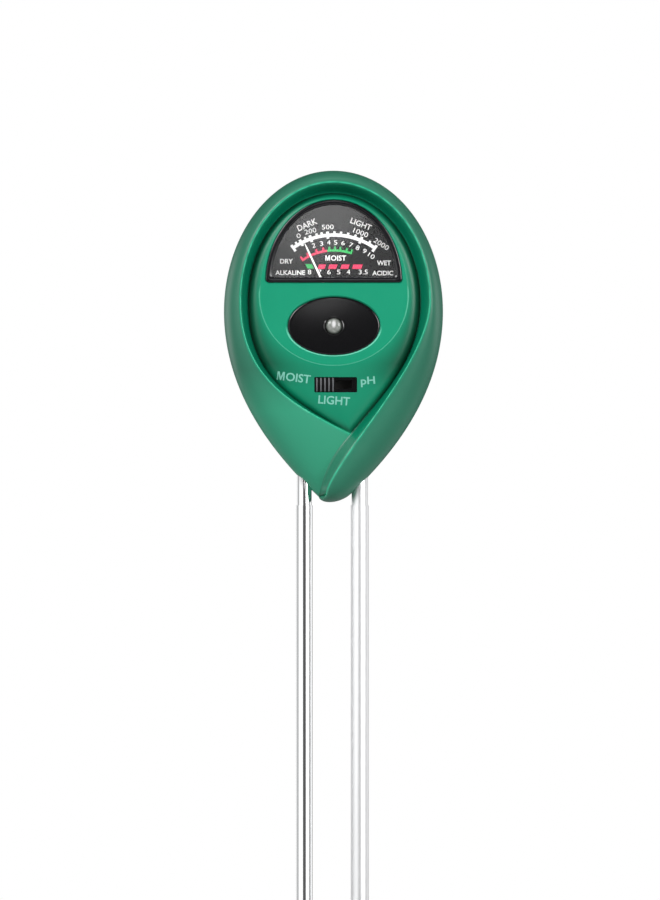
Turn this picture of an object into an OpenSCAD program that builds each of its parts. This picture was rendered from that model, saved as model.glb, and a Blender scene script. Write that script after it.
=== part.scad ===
// Soil moisture meter: a leaf-shaped head with a dial, a mode switch and a light
// sensor, on two metal probes that are pushed into the soil.
// Millimetres. +Z points up and the dial faces -Y. The origin lies in the parting
// plane of the two shells (y = 0), on the centre line, level with the head's lowest tip.

/* [Head] */
// Width of the head
head_w = 63.3; // [60:0.1:78]
// Height of the head
head_h = 95.7; // [92:0.1:118]
// Height of the rim crest in front of the parting plane
crest_depth = 12.5; // [11.8:0.1:14]
// Height of the flat face in front of the parting plane
face_depth = 10; // [9.6:0.1:10.6]
// Height of the groove floor in front of the parting plane
groove_depth = 7.5; // [7.2:0.1:8]
// Depth of the rear shell behind the parting plane
rear_depth = 17; // [16:0.1:22]
// Wall of the shells
wall = 2; // [1.6:0.1:2.4]
// Width of the rim from the outline to its crest, right side
rim_right = 3.85; // [3.4:0.05:4.6]
// Width of the rim from the outline to its crest, left side
rim_left = 4.85; // [4.2:0.05:5.4]
// Width of the rim from the outline to its crest, at the top
rim_top = 3.6; // [3.2:0.05:4.4]
// Width of the slope from the crest down to the groove
slope_w = 2.8; // [2.2:0.05:3.2]
// Sideways place of the point where the two leaf edges cross
fold_x = 4.8; // [3:0.1:6]
// Height of the point where the two leaf edges cross
fold_z = 19.7; // [18:0.1:22]

/* [Dial] */
// Width of the black bezel
bezel_w = 39.2; // [36:0.1:40]
// Height of the black bezel
bezel_h = 23.9; // [22:0.1:25]
// Visible width of the bezel frame
bezel_frame = 1.6; // [1.2:0.1:2.2]
// Thickness of the clear window
window_t = 0.8; // [0.6:0.1:0.9]
// Height of the needle pivot below the lower edge of the bezel
pivot_drop = 6.6; // [6:0.1:8]
// Length of the needle from its pivot
needle_l = 19.8; // [17:0.1:21]
// Angle of the needle from upright at rest, negative to the left
needle_angle = -25; // [-30:1:30]

/* [Sensor] */
// Width of the black oval plate
oval_w = 26.4; // [24:0.1:28]
// Height of the black oval plate
oval_h = 16.7; // [14:0.1:17.4]
// Thickness of the black oval plate
oval_t = 0.7; // [0.5:0.1:0.9]
// Diameter of the clear sensor dome
lens_d = 4.6; // [4:0.1:5.4]

/* [Switch] */
// Length of the switch slot
slot_l = 12.3; // [11:0.1:13.5]
// Height of the switch slot
slot_h = 4.4; // [4:0.1:5]
// Length of the ribbed knob
knob_l = 5.8; // [5:0.1:6.2]
// Number of ribs on the knob
knob_ribs = 5; // [3:1:6]

/* [Probes] */
// Diameter of the left probe
left_probe_d = 4.7; // [4:0.1:5.6]
// Diameter of the right probe
right_probe_d = 5.2; // [4:0.1:5.6]
// Distance of the left probe's axis from the centre line
left_probe_x = 8.4; // [8:0.1:9]
// Distance of the right probe's axis from the centre line
right_probe_x = 7.6; // [7.6:0.1:9]
// Length of the probes below the head's lowest tip
probe_l = 195; // [150:1:240]
// Length of the probes' pointed tips
point_l = 6; // [4:0.5:10]

/* [Movement] */
// Radius of the core magnet
core_r = 5.3; // [4.8:0.1:5.5]
// Length of the core magnet
core_l = 8; // [6:0.1:8.6]
// Free gap between the core magnet and the coil
coil_gap = 0.5; // [0.4:0.05:0.6]
// Radial thickness of the coil
coil_t = 1.0; // [0.8:0.1:1.2]
// Outer radius of the iron ring round the coil
ring_r = 10.2; // [9.6:0.1:10.6]

/* [Fixings] */
// Diameter of the case screws
screw_d = 2.6; // [2.2:0.1:3]
// Diameter of the case screws' heads
screw_head_d = 4.8; // [4.2:0.1:5.4]

/* [Hidden] */

// Clearances
fit = 0.15;          // beside a piece that drops into an opening
seat = 0.1;          // between two faces that rest on each other
// The outline points below are written for a head of this size and stretch with it
drawn_w = 63.3;
drawn_h = 95.7;
function at(x, z) = [x * head_w / drawn_w, z * head_h / drawn_h];

half_w = head_w / 2;
wide_z = at(0, 55)[1];          // height at which the head is widest
egg_z = at(0, 58)[1];           // height at which the groove round the face is widest
fold = [fold_x, fold_z];        // where the leaf edges cross
lip_end = at(-4.3, 1.5);        // where the right leaf's lip meets the outline
groove_l = half_w - rim_left - slope_w + 0.6;
groove_r = half_w - rim_right - slope_w;
groove_top = head_h - rim_top - slope_w - 0.3;

face_x = 0.1;                   // centre line of everything on the face
bezel_z = egg_z + 5.2;          // lower edge of the bezel
pivot_z = bezel_z - pivot_drop;
oval_z = pivot_z - 5.9;
slot_z = oval_z - 16.9;
slot_x = 0.65;                  // middle of the slot
island_z = egg_z + 1.5;
island_w = 21.6;                // half width of the flat island
island_low = 20.3;              // its reach below its centre
island_high = groove_top - 1.5 - island_z;
island_step = 0.25;             // height of the step round the island

// ---- curves ----
function bezier(p, t) = p[0] * pow(1 - t, 3) + 3 * p[1] * t * pow(1 - t, 2)
    + 3 * p[2] * t * t * (1 - t) + p[3] * pow(t, 3);
// A quarter ellipse from the top of a line to its widest point
function quarter(w, top, mid, a) = [w * sin(a), mid + (top - mid) * cos(a)];
function ellipse(x, z, a, b, n = 56) =
    [for (i = [0:n - 1]) [x + a * cos(360 * i / n), z + b * sin(360 * i / n)]];
function mix(a, b, f) = a + (b - a) * f;

outline_right = [[half_w, wide_z], at(31.65, 31.4), at(17, 13.5), at(4.9, 2.2)];
outline_tip = [at(4.9, 2.2), at(1.9, -0.5), at(-3.6, -0.9), lip_end];
outline_left = [[-half_w, wide_z], at(-31.65, 31.4), at(-17, 13.5), lip_end];
crest_right = [[half_w - rim_right, egg_z], [half_w - rim_right, at(0, 40)[1]],
    at(-0.3, 12), at(-2.2, 2)];
crest_left = [[rim_left - half_w, egg_z], [rim_left - half_w, at(0, 36)[1]],
    at(-12.5, 28.2), fold];
groove_right = [[groove_r, egg_z], [groove_r, at(0, 42)[1]], at(16, 33), fold];
groove_left = [[-groove_l, egg_z], [-groove_l, at(0, 39)[1]], at(-16.5, 31.5), fold];
lip = [lip_end, at(-2.6, 9.5), at(-0.2, 14.2), fold];

// ---- grid of the front: columns run round the head from the lip's end, up the right
// side, over the top and down the left side; rows run from the outline to the groove ----
crest_row = 9;                  // rows from the outline to the crest
foot_row = 13;                  // and on to the groove
low_n = 16;                     // columns from the fold up to the widest point, right
top_n = 16;                     // columns in each quarter of the top
left_n = 24;                    // columns down the left side
right_i = crest_row + low_n;
top_i = right_i + top_n;
left_i = top_i + top_n;
end_i = left_i + left_n;
lip_steps = 6;                  // columns that follow the outline's rounded tip

function lip_share(i) = 1 - cos(90 * i / crest_row);
function outline(i) =
    i <= lip_steps ? bezier(outline_tip, 1 - i / lip_steps) :
    i <= crest_row ? bezier(outline_right,
        1 - 0.25 * (i - lip_steps) / (crest_row - lip_steps)) :
    i <= right_i ? bezier(outline_right, 0.75 * (right_i - i) / low_n) :
    i <= top_i ? quarter(half_w, head_h, wide_z, 90 * (top_i - i) / top_n) :
    i <= left_i ? quarter(-half_w, head_h, wide_z, 90 * (i - top_i) / top_n) :
    bezier(outline_left, (i - left_i) / left_n);
function crest(i) =
    i <= crest_row ? bezier(crest_right, 1 - 0.35 * lip_share(i)) :
    i <= right_i ? bezier(crest_right, 0.65 * (right_i - i) / low_n) :
    i <= top_i ? quarter(half_w - rim_right, head_h - rim_top, egg_z,
        90 * (top_i - i) / top_n) :
    i <= left_i ? quarter(rim_left - half_w, head_h - rim_top, egg_z,
        90 * (i - top_i) / top_n) :
    bezier(crest_left, (i - left_i) / left_n);
function foot(i) =
    i <= crest_row ? bezier(lip, lip_share(i)) :
    i <= right_i ? bezier(groove_right, (right_i - i) / low_n) :
    i <= top_i ? quarter(groove_r, groove_top, egg_z, 90 * (top_i - i) / top_n) :
    i <= left_i ? quarter(-groove_l, groove_top, egg_z, 90 * (i - top_i) / top_n) :
    bezier(groove_left, (i - left_i) / left_n);

// Heights in front of the parting plane
fold_depth = groove_depth + 0.5;
function crest_height(i) =
    i <= crest_row ? (crest_depth - 1.5) * pow(sin(90 * i / crest_row), 0.7) :
    i <= right_i ? crest_depth - 1.5 * pow((right_i - i) / low_n, 2) :
    i <= left_i ? crest_depth :
    mix(crest_depth, fold_depth, pow((i - left_i) / left_n, 2.5));
function foot_height(i) =
    i <= crest_row ? fold_depth * sin(90 * i / crest_row) :
    i <= right_i ? mix(groove_depth, fold_depth, pow((right_i - i) / low_n, 4)) :
    i <= left_i ? groove_depth :
    mix(groove_depth, fold_depth, pow((i - left_i) / left_n, 4));

// The last columns of the left leaf bend to follow the lip that lies on them
bend_n = 10;
function bend(i) = i < end_i - bend_n ? 0 : pow((i - end_i + bend_n) / bend_n, 2);
function rim_point(i, r) =
    let (up = min(r, crest_row) / crest_row * 90,
        across = 1 - cos(up),
        down = max(0, r - crest_row) / (foot_row - crest_row),
        o = outline(i), c = crest(i), f = foot(i),
        line = mix(o, c, across),
        flat = r <= crest_row
            ? line + bend(i) * (bezier(lip, across) - mix(lip[0], lip[3], across))
            : mix(c, f, down),
        high = r <= crest_row ? crest_height(i) * sin(up)
            : mix(crest_height(i), foot_height(i), (1 - cos(180 * down)) / 2))
    [flat[0], -high, flat[1]];

// ---- rings of the face, from the groove in to the island ----
// Each ring: distance in from the groove, largest share of the way, share of the rise
face_rings = [[0.5, 0.2, 0.35], [1.2, 0.42, 0.62], [2.4, 0.7, 0.84], [11, 0.8, 0.96]];
function island_point(p, scale = 1) =
    let (a = atan2(p[1] - island_z, p[0] - face_x),
        b = sin(a) < 0 ? island_low : island_high,
        r = scale / norm([cos(a) / island_w, sin(a) / b]))
    [face_x + r * cos(a), island_z + r * sin(a)];
function face_point(i, k) =
    let (g = foot(i), s = island_point(g), gap = norm(s - g),
        way = min(face_rings[k][0] / gap, face_rings[k][1]),
        p = mix(g, s, way),
        high = mix(foot_height(i), face_depth - island_step, face_rings[k][2]))
    [p[0], -high, p[1]];

// ---- cavity of both shells: a plain teardrop inside the outline ----
function cavity(i, inset) =
    let (w = half_w - inset, top = head_h - inset, tip = 4 + 1.6 * inset)
    i <= right_i ? let (b = 90 * i / right_i)
        [w * pow(sin(b), 1.6), wide_z - (wide_z - tip) * pow(cos(b), 1.04)] :
    i <= top_i ? quarter(w, top, wide_z, 90 * (top_i - i) / top_n) :
    i <= left_i ? quarter(-w, top, wide_z, 90 * (i - top_i) / top_n) :
    let (b = 90 * (end_i - i) / left_n)
        [-w * pow(sin(b), 1.6), wide_z - (wide_z - tip) * pow(cos(b), 1.04)];
function lift(p, y) = [p[0], y, p[1]];

// Point numbers of ring k where each ring has the same count of points
function ring_ids(start, count, k) = [for (i = [0:count - 1]) start + count * k + i];
// Triangles between two such rings, and from one ring to a middle point
function band(a, b) = [for (i = [0:len(a) - 1])
    let (j = (i + 1) % len(a)) each [[a[i], a[j], b[j]], [a[i], b[j], b[i]]]];
function fan(a, centre) = [for (i = [0:len(a) - 1]) [a[i], a[(i + 1) % len(a)], centre]];
function used(faces) = [for (f = faces) if (f[0] != f[1] && f[1] != f[2] && f[2] != f[0]) f];
function turned(faces) = [for (f = faces) [f[0], f[2], f[1]]];

// ---- front shell ----
rim_n = foot_row + 1;
// Number of the point at column i and row r. The first column is one point, the lip's
// end, and the columns along the lip share their foot with the left leaf's last column
function rim_id(i, r) =
    i == 0 ? end_i * rim_n :
    r == foot_row && i <= crest_row ? rim_id(end_i, i) :
    i == end_i ? end_i * rim_n + min(r, crest_row) :
    i * rim_n + r;
rim_points = [for (i = [0:end_i]) for (r = [0:foot_row]) rim_point(i, r)];
face_i = [for (i = [crest_row:end_i - 1]) i];
face_start = len(rim_points);
face_points = [
    for (k = [0:len(face_rings) - 1]) for (i = face_i) face_point(i, k),
    for (i = face_i) lift(island_point(foot(i), 1.012), island_step - face_depth),
    for (i = face_i) lift(island_point(foot(i)), -face_depth)];
hub_id = face_start + len(face_points);
ceiling = groove_depth - wall + 0.1;    // depth of the cavity behind the groove
// The cavity's rings: inset past the wall and share of the ceiling's height
front_cavity_rings = [[0.2, 0], [0.7, 0.7], [3, 1]];
pocket_share = 0.88;            // size of the pocket behind the island, as a share of it
module front_solid() {
    count = len(face_i);
    ring_n = len(face_rings) + 2;
    groove_ids = [for (i = face_i) rim_id(i, foot_row)];
    rim_faces = [for (i = [0:end_i - 1]) for (r = [0:foot_row - 1])
        each [[rim_id(i, r), rim_id(i + 1, r), rim_id(i + 1, r + 1)],
            [rim_id(i, r), rim_id(i + 1, r + 1), rim_id(i, r + 1)]]];
    face_faces = [each band(groove_ids, ring_ids(face_start, count, 0)),
        for (k = [0:ring_n - 2]) each band(ring_ids(face_start, count, k),
            ring_ids(face_start, count, k + 1)),
        each fan(ring_ids(face_start, count, ring_n - 1), hub_id)];
    back_faces = turned(fan([for (i = [0:end_i - 1]) rim_id(i, 0)], hub_id + 1));
    polyhedron(points = [each rim_points, each face_points,
            [face_x, -face_depth, island_z], [face_x, 0, island_z - 12]],
        faces = turned(used([each rim_faces, each face_faces, each back_faces])),
        convexity = 8);
}
module front_cavity() {
    rings = [
        [for (i = [0:end_i - 1]) lift(cavity(i, wall + 0.2), 1)],
        for (c = front_cavity_rings)
            [for (i = [0:end_i - 1]) lift(cavity(i, wall + c[0]), -ceiling * c[1])],
        for (c = [[pocket_share + 0.02, -ceiling], [pocket_share, wall - face_depth]])
            [for (i = [0:end_i - 1]) lift(island_point(cavity(i, wall + 3), c[0]), c[1])]];
    ring_solid(rings);
}

// ---- shapes that repeat ----
// The mean of a ring of points
function middle(ring) = [for (p = ring) 1 / len(ring)] * ring;
// A closed solid through rings of equally many points, capped by a fan at each end
module ring_solid(rings) {
    count = len(rings[0]);
    last = len(rings) - 1;
    hub = count * len(rings);
    polyhedron(points = [each [for (r = rings) each r], middle(rings[0]), middle(rings[last])],
        faces = [for (k = [0:last - 1]) each band(ring_ids(0, count, k + 1),
                ring_ids(0, count, k)),
            each fan(ring_ids(0, count, 0), hub),
            each turned(fan(ring_ids(0, count, last), hub + 1))],
        convexity = 8);
}
// A round wire along a cubic curve; its ends are cut square
wire_sides = 8;
wire_steps = 10;
function unit(v) = v / norm(v);
function wire_ring(p, t, r) =
    let (c = bezier(p, t),
        ahead = unit(bezier(p, min(t + 0.01, 1)) - bezier(p, max(t - 0.01, 0))),
        side = unit(cross(ahead, [1, 0, 0])), up = cross(ahead, side))
    [for (k = [0:wire_sides - 1])
        let (a = 360 * k / wire_sides) c + r * (cos(a) * side + sin(a) * up)];
module wire(p) ring_solid([for (k = [0:wire_steps]) wire_ring(p, k / wire_steps, lead_r)]);
// A flat outline in the X-Z plane, made solid from y0 to y1
module slab(y0, y1) translate([0, y1, 0]) rotate([90, 0, 0]) linear_extrude(y1 - y0)
    children();
module rod(x, z, r, y0, y1) translate([x, y0, z]) rotate([-90, 0, 0])
    cylinder(r = r, h = y1 - y0, $fn = 48);
module block(x0, x1, y0, y1, z0, z1) translate([x0, y0, z0])
    cube([x1 - x0, y1 - y0, z1 - z0]);
// The bezel's outline, grown by g: an ellipse cut off level a little below its middle
d_steps = 48;
function d_outline(g) =
    let (a = bezel_w / 2 + g, b = bezel_h + g, dip = asin(g / b))
    [for (k = [0:d_steps]) let (t = mix(-dip, 180 + dip, k / d_steps))
        [face_x + a * cos(t), bezel_z + b * sin(t)]];
module d_shape(g) polygon(d_outline(g));
function oval_outline(g) = ellipse(face_x, oval_z, oval_w / 2 + g, oval_h / 2 + g);
module oval_shape(g) polygon(oval_outline(g));

// ---- depths, all as y ----
face_y = -face_depth;
panel_y = wall - face_depth;            // inner side of the panel behind the island
bezel_y = face_y - 0.4;                 // front of the bezel
window_y = bezel_y + 0.9;               // front of the window
tray_y = window_y + window_t + seat;    // front edge of the meter's tray
dial_y = -4.2;                          // printed side of the dial
dial_t = 0.5;
floor_y = dial_y + dial_t + seat;       // tray floor under the dial
floor_t = 1.2;
ring_y = -2;                            // front of the iron ring
needle_y = dial_y - 0.9;
needle_t = 0.3;
bridge_y = -7.5;                        // front of the front bridge
bridge_t = 0.8;
rear_bridge_y = ring_y + core_l + 3.6;
housing_back_y = rear_bridge_y + bridge_t + 2;
probe_top = 24;
neck_z = -1;                            // height at which the probes narrow to a neck
neck_step = 0.25;                       // drop of their radius there
function neck_r(d) = d / 2 - neck_step;
slot_y = -(groove_depth - wall) - 2.2;  // ceiling of the pocket behind the slot

// ---- case screws ----
screw_places = [[-22.5, wide_z - 9], [22.5, wide_z - 9], [-0.8, 15.5]];
boss_r = 2.9;
screw_seat_y = 6.5;                     // depth of the heads' seat in the rear shell
screw_l = 10.5;
screw_gap = 0.05;                       // round a screw in its hole in plastic

// ---- ribs that hold the probes' collars, in both shells ----
collar_z = 18;
collar_h = 2.5;
collar_t = 0.9;                         // wall of a collar
rib_t = 1;
rib_places = [collar_z - seat - rib_t, collar_z + collar_h + seat];
module collar_ribs(y0, y1) for (z = rib_places)
    for (p = [[-left_probe_x, left_probe_d], [right_probe_x, right_probe_d]])
        block(p[0] - p[1] / 2 - 2 * collar_t, p[0] + p[1] / 2 + 2 * collar_t, y0, y1, z,
            z + rib_t);
// Holes through the parting plane for the probes' necks
module probe_holes() for (p = [[-left_probe_x, left_probe_d], [right_probe_x, right_probe_d]])
    translate([p[0], 0, neck_z])
        cylinder(r = neck_r(p[1]) + 0.08, h = rib_places[1] + rib_t + 1 - neck_z, $fn = 48);

module front_shell() color("#0c8c63") difference() {
    front_solid();
    difference() {
        front_cavity();
        for (p = screw_places) rod(p[0], p[1], boss_r, -ceiling - 4, -seat);
        for (x = board_screw_xs)
            rod(x, board_screw_z, board_boss_r, -ceiling - 1, board_y - seat);
        collar_ribs(-ceiling - 1, -seat);
    }
    for (x = board_screw_xs)
        rod(x, board_screw_z, board_screw_r + screw_gap, -ceiling + 0.3, 0);
    slab(face_y - 5, 5) d_shape(fit);
    slab(face_y - 1, face_y + oval_t + 0.1) oval_shape(fit);
    rod(face_x, oval_z, lens_d / 2 + fit, face_y - 1, 0);
    block(slot_x - slot_l / 2, slot_x + slot_l / 2, face_y - 1, 0,
        slot_z - slot_h / 2, slot_z + slot_h / 2);
    block(slot_x - switch_x - 0.3, slot_x + switch_x + 0.3, slot_y, 1,
        slot_z - switch_z - 0.3, slot_z + switch_z + 0.5);
    for (p = screw_places)
        rod(p[0], p[1], thread_r + screw_gap, screw_seat_y - screw_l, 1);
    probe_holes();
}

// ---- rear shell: the outline carried back and in along a quarter ellipse ----
rib_back_y = rear_depth - 0.5;          // the collars' ribs end inside the rear wall
rear_rows = 9;
plateau = 0.72;                 // share of the way in at which the back is level
function spine(p) = [face_x, min(max(p[1], at(0, 30)[1]), wide_z)];
function rear_point(p, depth, a) =
    let (q = plateau * (1 - cos(a)), c = spine(p), s = mix(p, c, q))
    [s[0], depth * sin(a), s[1]];
module rear_solid() ring_solid([for (k = [rear_rows:-1:0]) [for (i = [0:end_i - 1])
    rear_point(outline(i), rear_depth, 90 * k / rear_rows)]]);
module rear_cavity() {
    rows = rear_rows - 2;
    ring_solid([for (k = [rows:-1:0]) [for (i = [0:end_i - 1])
            rear_point(cavity(i, wall + 0.2), rear_depth - wall, 90 * k / rows)],
        [for (i = [0:end_i - 1]) lift(cavity(i, wall + 0.2), -1)]]);
}
module rear_shell() color("#0a7d58") difference() {
    rear_solid();
    difference() {
        rear_cavity();
        for (p = screw_places) rod(p[0], p[1], boss_r + 0.6, seat, rear_depth + 4);
        collar_ribs(seat, rib_back_y);
    }
    for (p = screw_places) {
        rod(p[0], p[1], screw_d / 2 + fit, -1, screw_seat_y + 1);
        rod(p[0], p[1], screw_head_d / 2 + 0.2, screw_seat_y, rear_depth + 1);
    }
    probe_holes();
}

// ---- dial group ----
bezel_edge = 0.3;               // bevel round the bezel's front edge
skirt_t = 0.9;                  // wall of the bezel's skirt and of the tray
module meter_bezel() color("#15151b") difference() {
    ring_solid([for (s = [[0, tray_y - seat], [0, bezel_y + bezel_edge],
            [-bezel_edge / 3, bezel_y + bezel_edge / 3], [-bezel_edge, bezel_y]])
        [for (p = d_outline(s[0])) lift(p, s[1])]]);
    slab(bezel_y - 1, window_y + 1) d_shape(-bezel_frame);
    slab(window_y - seat, tray_y + 1) d_shape(-skirt_t);
}
module meter_window() color("#dfe8ec", 0.35) slab(window_y, window_y + window_t)
    d_shape(-skirt_t - seat);
cup_r = ring_r + 1.4;
tray_x = 14.6;                  // half width of the tray's lower part
lead_gate_x = 2.2;              // half width of the cup's opening for the cell's leads
module meter_housing() color("#1b1b1f") difference() {
    union() {
        slab(tray_y, floor_y + floor_t) d_shape(-seat);
        block(face_x - tray_x, face_x + tray_x, panel_y + seat, floor_y + floor_t,
            pivot_z + 1, bezel_z + 0.5);
        rod(face_x, pivot_z, cup_r, panel_y + seat, housing_back_y);
    }
    slab(tray_y - 1, floor_y) d_shape(-skirt_t - seat);
    block(face_x - tray_x + skirt_t, face_x + tray_x - skirt_t, tray_y - 1, floor_y,
        pivot_z + 1 + skirt_t, bezel_z + 2);
    rod(face_x, pivot_z, ring_r + 0.2, tray_y - 1, housing_back_y - floor_t);
    block(face_x - lead_gate_x, face_x + lead_gate_x, tray_y - 1, cell_lead_y + 0.9,
        pivot_z - cup_r - 1, pivot_z - ring_r + 0.5);
    for (s = [-1, 1])
        translate([face_x + s * meter_lead_x, meter_lead_y, pivot_z - cup_r - 1])
            cylinder(r = lead_r + 0.2, h = 3, $fn = 24);
}
dial_screw_xs = [face_x - 12.1, face_x + 12.1];
dial_screw_z = pivot_z + 4;
dial_screw_r = 0.6;
tab_w = 3.2;                    // width of the dial's two lower tabs
bridge_cut_r = 8;               // cut-out of the dial round the front bridge
module dial_plate() color("#101014") difference() {
    slab(dial_y, dial_y + dial_t) {
        d_shape(-skirt_t - seat - fit);
        for (x = dial_screw_xs) translate([x - tab_w / 2, dial_screw_z - 1.8])
            square([tab_w, 6]);
    }
    for (x = dial_screw_xs) rod(x, dial_screw_z, dial_screw_r + fit, dial_y - 1, 0);
    rod(face_x, pivot_z, bridge_cut_r, dial_y - 1, 0);
}
module dial_screws() color("silver") for (x = dial_screw_xs)
    translate([x, 0, dial_screw_z]) {
        rod(0, 0, 1.3, dial_y - 0.8, dial_y);
        rod(0, 0, dial_screw_r, dial_y - 0.1, dial_y + dial_t);
    }

// ---- movement: everything here is built round the pivot axis ----
module at_pivot(turn = 0) translate([face_x, 0, pivot_z]) rotate([0, turn, 0]) children();
coil_in = core_r + coil_gap;
coil_out = coil_in + coil_t;
coil_w = 3;                     // width of the coil's sides
coil_y0 = ring_y - 1.6;
coil_y1 = ring_y + core_l + 1.6;
spindle_r = 0.5;
front_spindle_y = bridge_y + bridge_t + 0.5;
rear_spindle_y = rear_bridge_y - 0.5;

needle_root = 0.35;             // half width of the pointer at its hub and near its tip
needle_end = 0.24;
arm_l = 4.4;                    // length of the tail and of the side arms
weight_at = 3.9;                // distance of the balance weights on them
module needle() color("white") at_pivot(needle_angle) difference() {
    union() {
        slab(needle_y, needle_y + needle_t) {
            polygon([[-needle_root, 0], [-needle_end, needle_l - 1.5], [0, needle_l],
                [needle_end, needle_l - 1.5], [needle_root, 0]]);
            translate([-0.5, -arm_l]) square([1, arm_l]);
            translate([-arm_l, -0.4]) square([2 * arm_l, 0.8]);
        }
        rod(0, 0, 1.3, needle_y - 0.2, needle_y + 0.6);
        rod(0, -weight_at, 0.9, needle_y - 0.35, needle_y + 0.65);
        for (s = [-1, 1])
            rod(weight_at * s, 0, 0.75, needle_y - 0.25, needle_y + 0.55);
    }
    rod(0, 0, spindle_r, needle_y - 1, needle_y + 1);
}
module needle_spindle() color("#c9ccd0") at_pivot() {
    rod(0, 0, spindle_r, front_spindle_y, coil_y0 + 0.1);
    translate([0, front_spindle_y, 0]) rotate([90, 0, 0])
        cylinder(r1 = spindle_r, r2 = 0.06, h = 0.45, $fn = 24);
    rod(0, 0, spindle_r, coil_y1 - 0.1, rear_spindle_y);
    translate([0, rear_spindle_y, 0]) rotate([-90, 0, 0])
        cylinder(r1 = spindle_r, r2 = 0.06, h = 0.45, $fn = 24);
}
// A rectangular loop round the core, in the plane of the pivot axis
module coil_loop(r0, r1, w) difference() {
    block(-r1, r1, coil_y0 + coil_out - r1, coil_y1 - coil_out + r1, -w / 2, w / 2);
    block(-r0, r0, coil_y0 + coil_out - r0, coil_y1 - coil_out + r0, -w, w);
}
former_t = 0.25;
module coil_former() color("#b9bcc2") at_pivot(needle_angle) difference() {
    coil_loop(coil_in, coil_in + former_t, coil_w);
    rod(0, 0, spindle_r, coil_y0 - 1, coil_y1 + 1);
}
module coil_winding() color("#b4652c") at_pivot(needle_angle) difference() {
    coil_loop(coil_in + former_t, coil_out, coil_w - 0.4);
    rod(0, 0, spindle_r, coil_y0 - 1, coil_y1 + 1);
}
// A flat spiral strip from the collar out to its stud
spiral_turns = 3.5;
spiral_in = 1.0;
spiral_out = 3.6;
strip_t = 0.12;
spiral_n = 84;
module spiral(y0) {
    function place(k, side) =
        let (a = 360 * spiral_turns * k / spiral_n,
            r = mix(spiral_in, spiral_out, k / spiral_n) + side * strip_t / 2)
        [r * cos(a), r * sin(a)];
    slab(y0, y0 + 0.4) polygon([for (k = [0:spiral_n]) place(k, 1),
        for (k = [spiral_n:-1:0]) place(k, -1)]);
    end = place(spiral_n, 0);
    rod(end[0], end[1], 0.35, y0 - 0.4, y0 + 0.8);
}
module front_hairspring() color("#c08a3a") at_pivot() spiral(bridge_y + bridge_t + 0.5);
module rear_hairspring() color("#c08a3a") at_pivot() spiral(rear_bridge_y - 1.3);
module core_magnet() color("#6d7076") at_pivot() {
    rod(0, 0, core_r, ring_y, ring_y + core_l);
    for (s = [-1, 1]) block(-1.4, 1.4, ring_y + 1, ring_y + core_l - 1,
        min(s * 4, s * (coil_out + 0.35)), max(s * 4, s * (coil_out + 0.35)));
}
ring_in = coil_out + 0.6;
module iron_ring() color("#55585e") at_pivot() difference() {
    rod(0, 0, ring_r, ring_y, ring_y + core_l);
    rod(0, 0, ring_in, ring_y - 1, ring_y + core_l + 1);
}
post_x = (ring_in + ring_r) / 2;
post_r = 0.9;
bearing_r = 1;
module bridge(y0, y1, post0, post1) difference() {
    union() {
        block(-post_x - post_r, post_x + post_r, y0, y1, -1.5, 1.5);
        for (s = [-1, 1]) rod(s * post_x, 0, post_r, post0, post1);
    }
    rod(0, 0, bearing_r, y0 - 1, y1 + 1);
}
module front_bridge() color("#b08d46") at_pivot()
    bridge(bridge_y, bridge_y + bridge_t, bridge_y + 0.2, ring_y);
module rear_bridge() color("#b08d46") at_pivot()
    bridge(rear_bridge_y, rear_bridge_y + bridge_t, ring_y + core_l,
        rear_bridge_y + 0.2);
module bearing_screws() color("#c8a35a") at_pivot() {
    difference() {
        rod(0, 0, bearing_r, bridge_y - 0.3, bridge_y + bridge_t + 0.3);
        translate([0, bridge_y + bridge_t + 0.35, 0]) rotate([90, 0, 0])
            cylinder(r1 = 0.62, r2 = 0.1, h = 0.55, $fn = 24);
    }
    difference() {
        rod(0, 0, bearing_r, rear_bridge_y - 0.3, rear_bridge_y + bridge_t + 0.5);
        translate([0, rear_bridge_y - 0.35, 0]) rotate([-90, 0, 0])
            cylinder(r1 = 0.62, r2 = 0.1, h = 0.55, $fn = 24);
    }
}

// ---- light sensor ----
// The plate's rings: growth of the oval and depth behind the face, crowned in front
plate_rings = [[0, 0.1 + oval_t], [0, 0.4], [-0.12, 0.24], [-0.4, 0.18], [-2.4, 0.12],
    [-5, 0.1]];
module sensor_plate() color("#17171a") difference() {
    ring_solid([for (s = plate_rings) [for (p = oval_outline(s[0])) lift(p, face_y + s[1])]]);
    rod(face_x, oval_z, lens_d / 2 + 0.1, face_y - 1, 0);
}
dome_r = lens_d / 2 + 0.25;
module sensor_lens() color("#e6ecee", 0.5) translate([face_x, 0, oval_z]) {
    rod(0, 0, lens_d / 2, face_y + 0.1, panel_y + seat + 0.5);
    rod(0, 0, lens_d / 2 + 0.7, panel_y + seat, panel_y + seat + 0.6);
    intersection() {
        translate([0, face_y + 1.1, 0]) sphere(r = dome_r, $fn = 48);
        rod(0, 0, lens_d / 2, face_y - 4, face_y + 0.2);
    }
}
module light_cell() color("#8a7a55") translate([face_x, 0, oval_z])
    rod(0, 0, 2.4, panel_y + seat + 0.7, panel_y + seat + 1.6);

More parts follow.
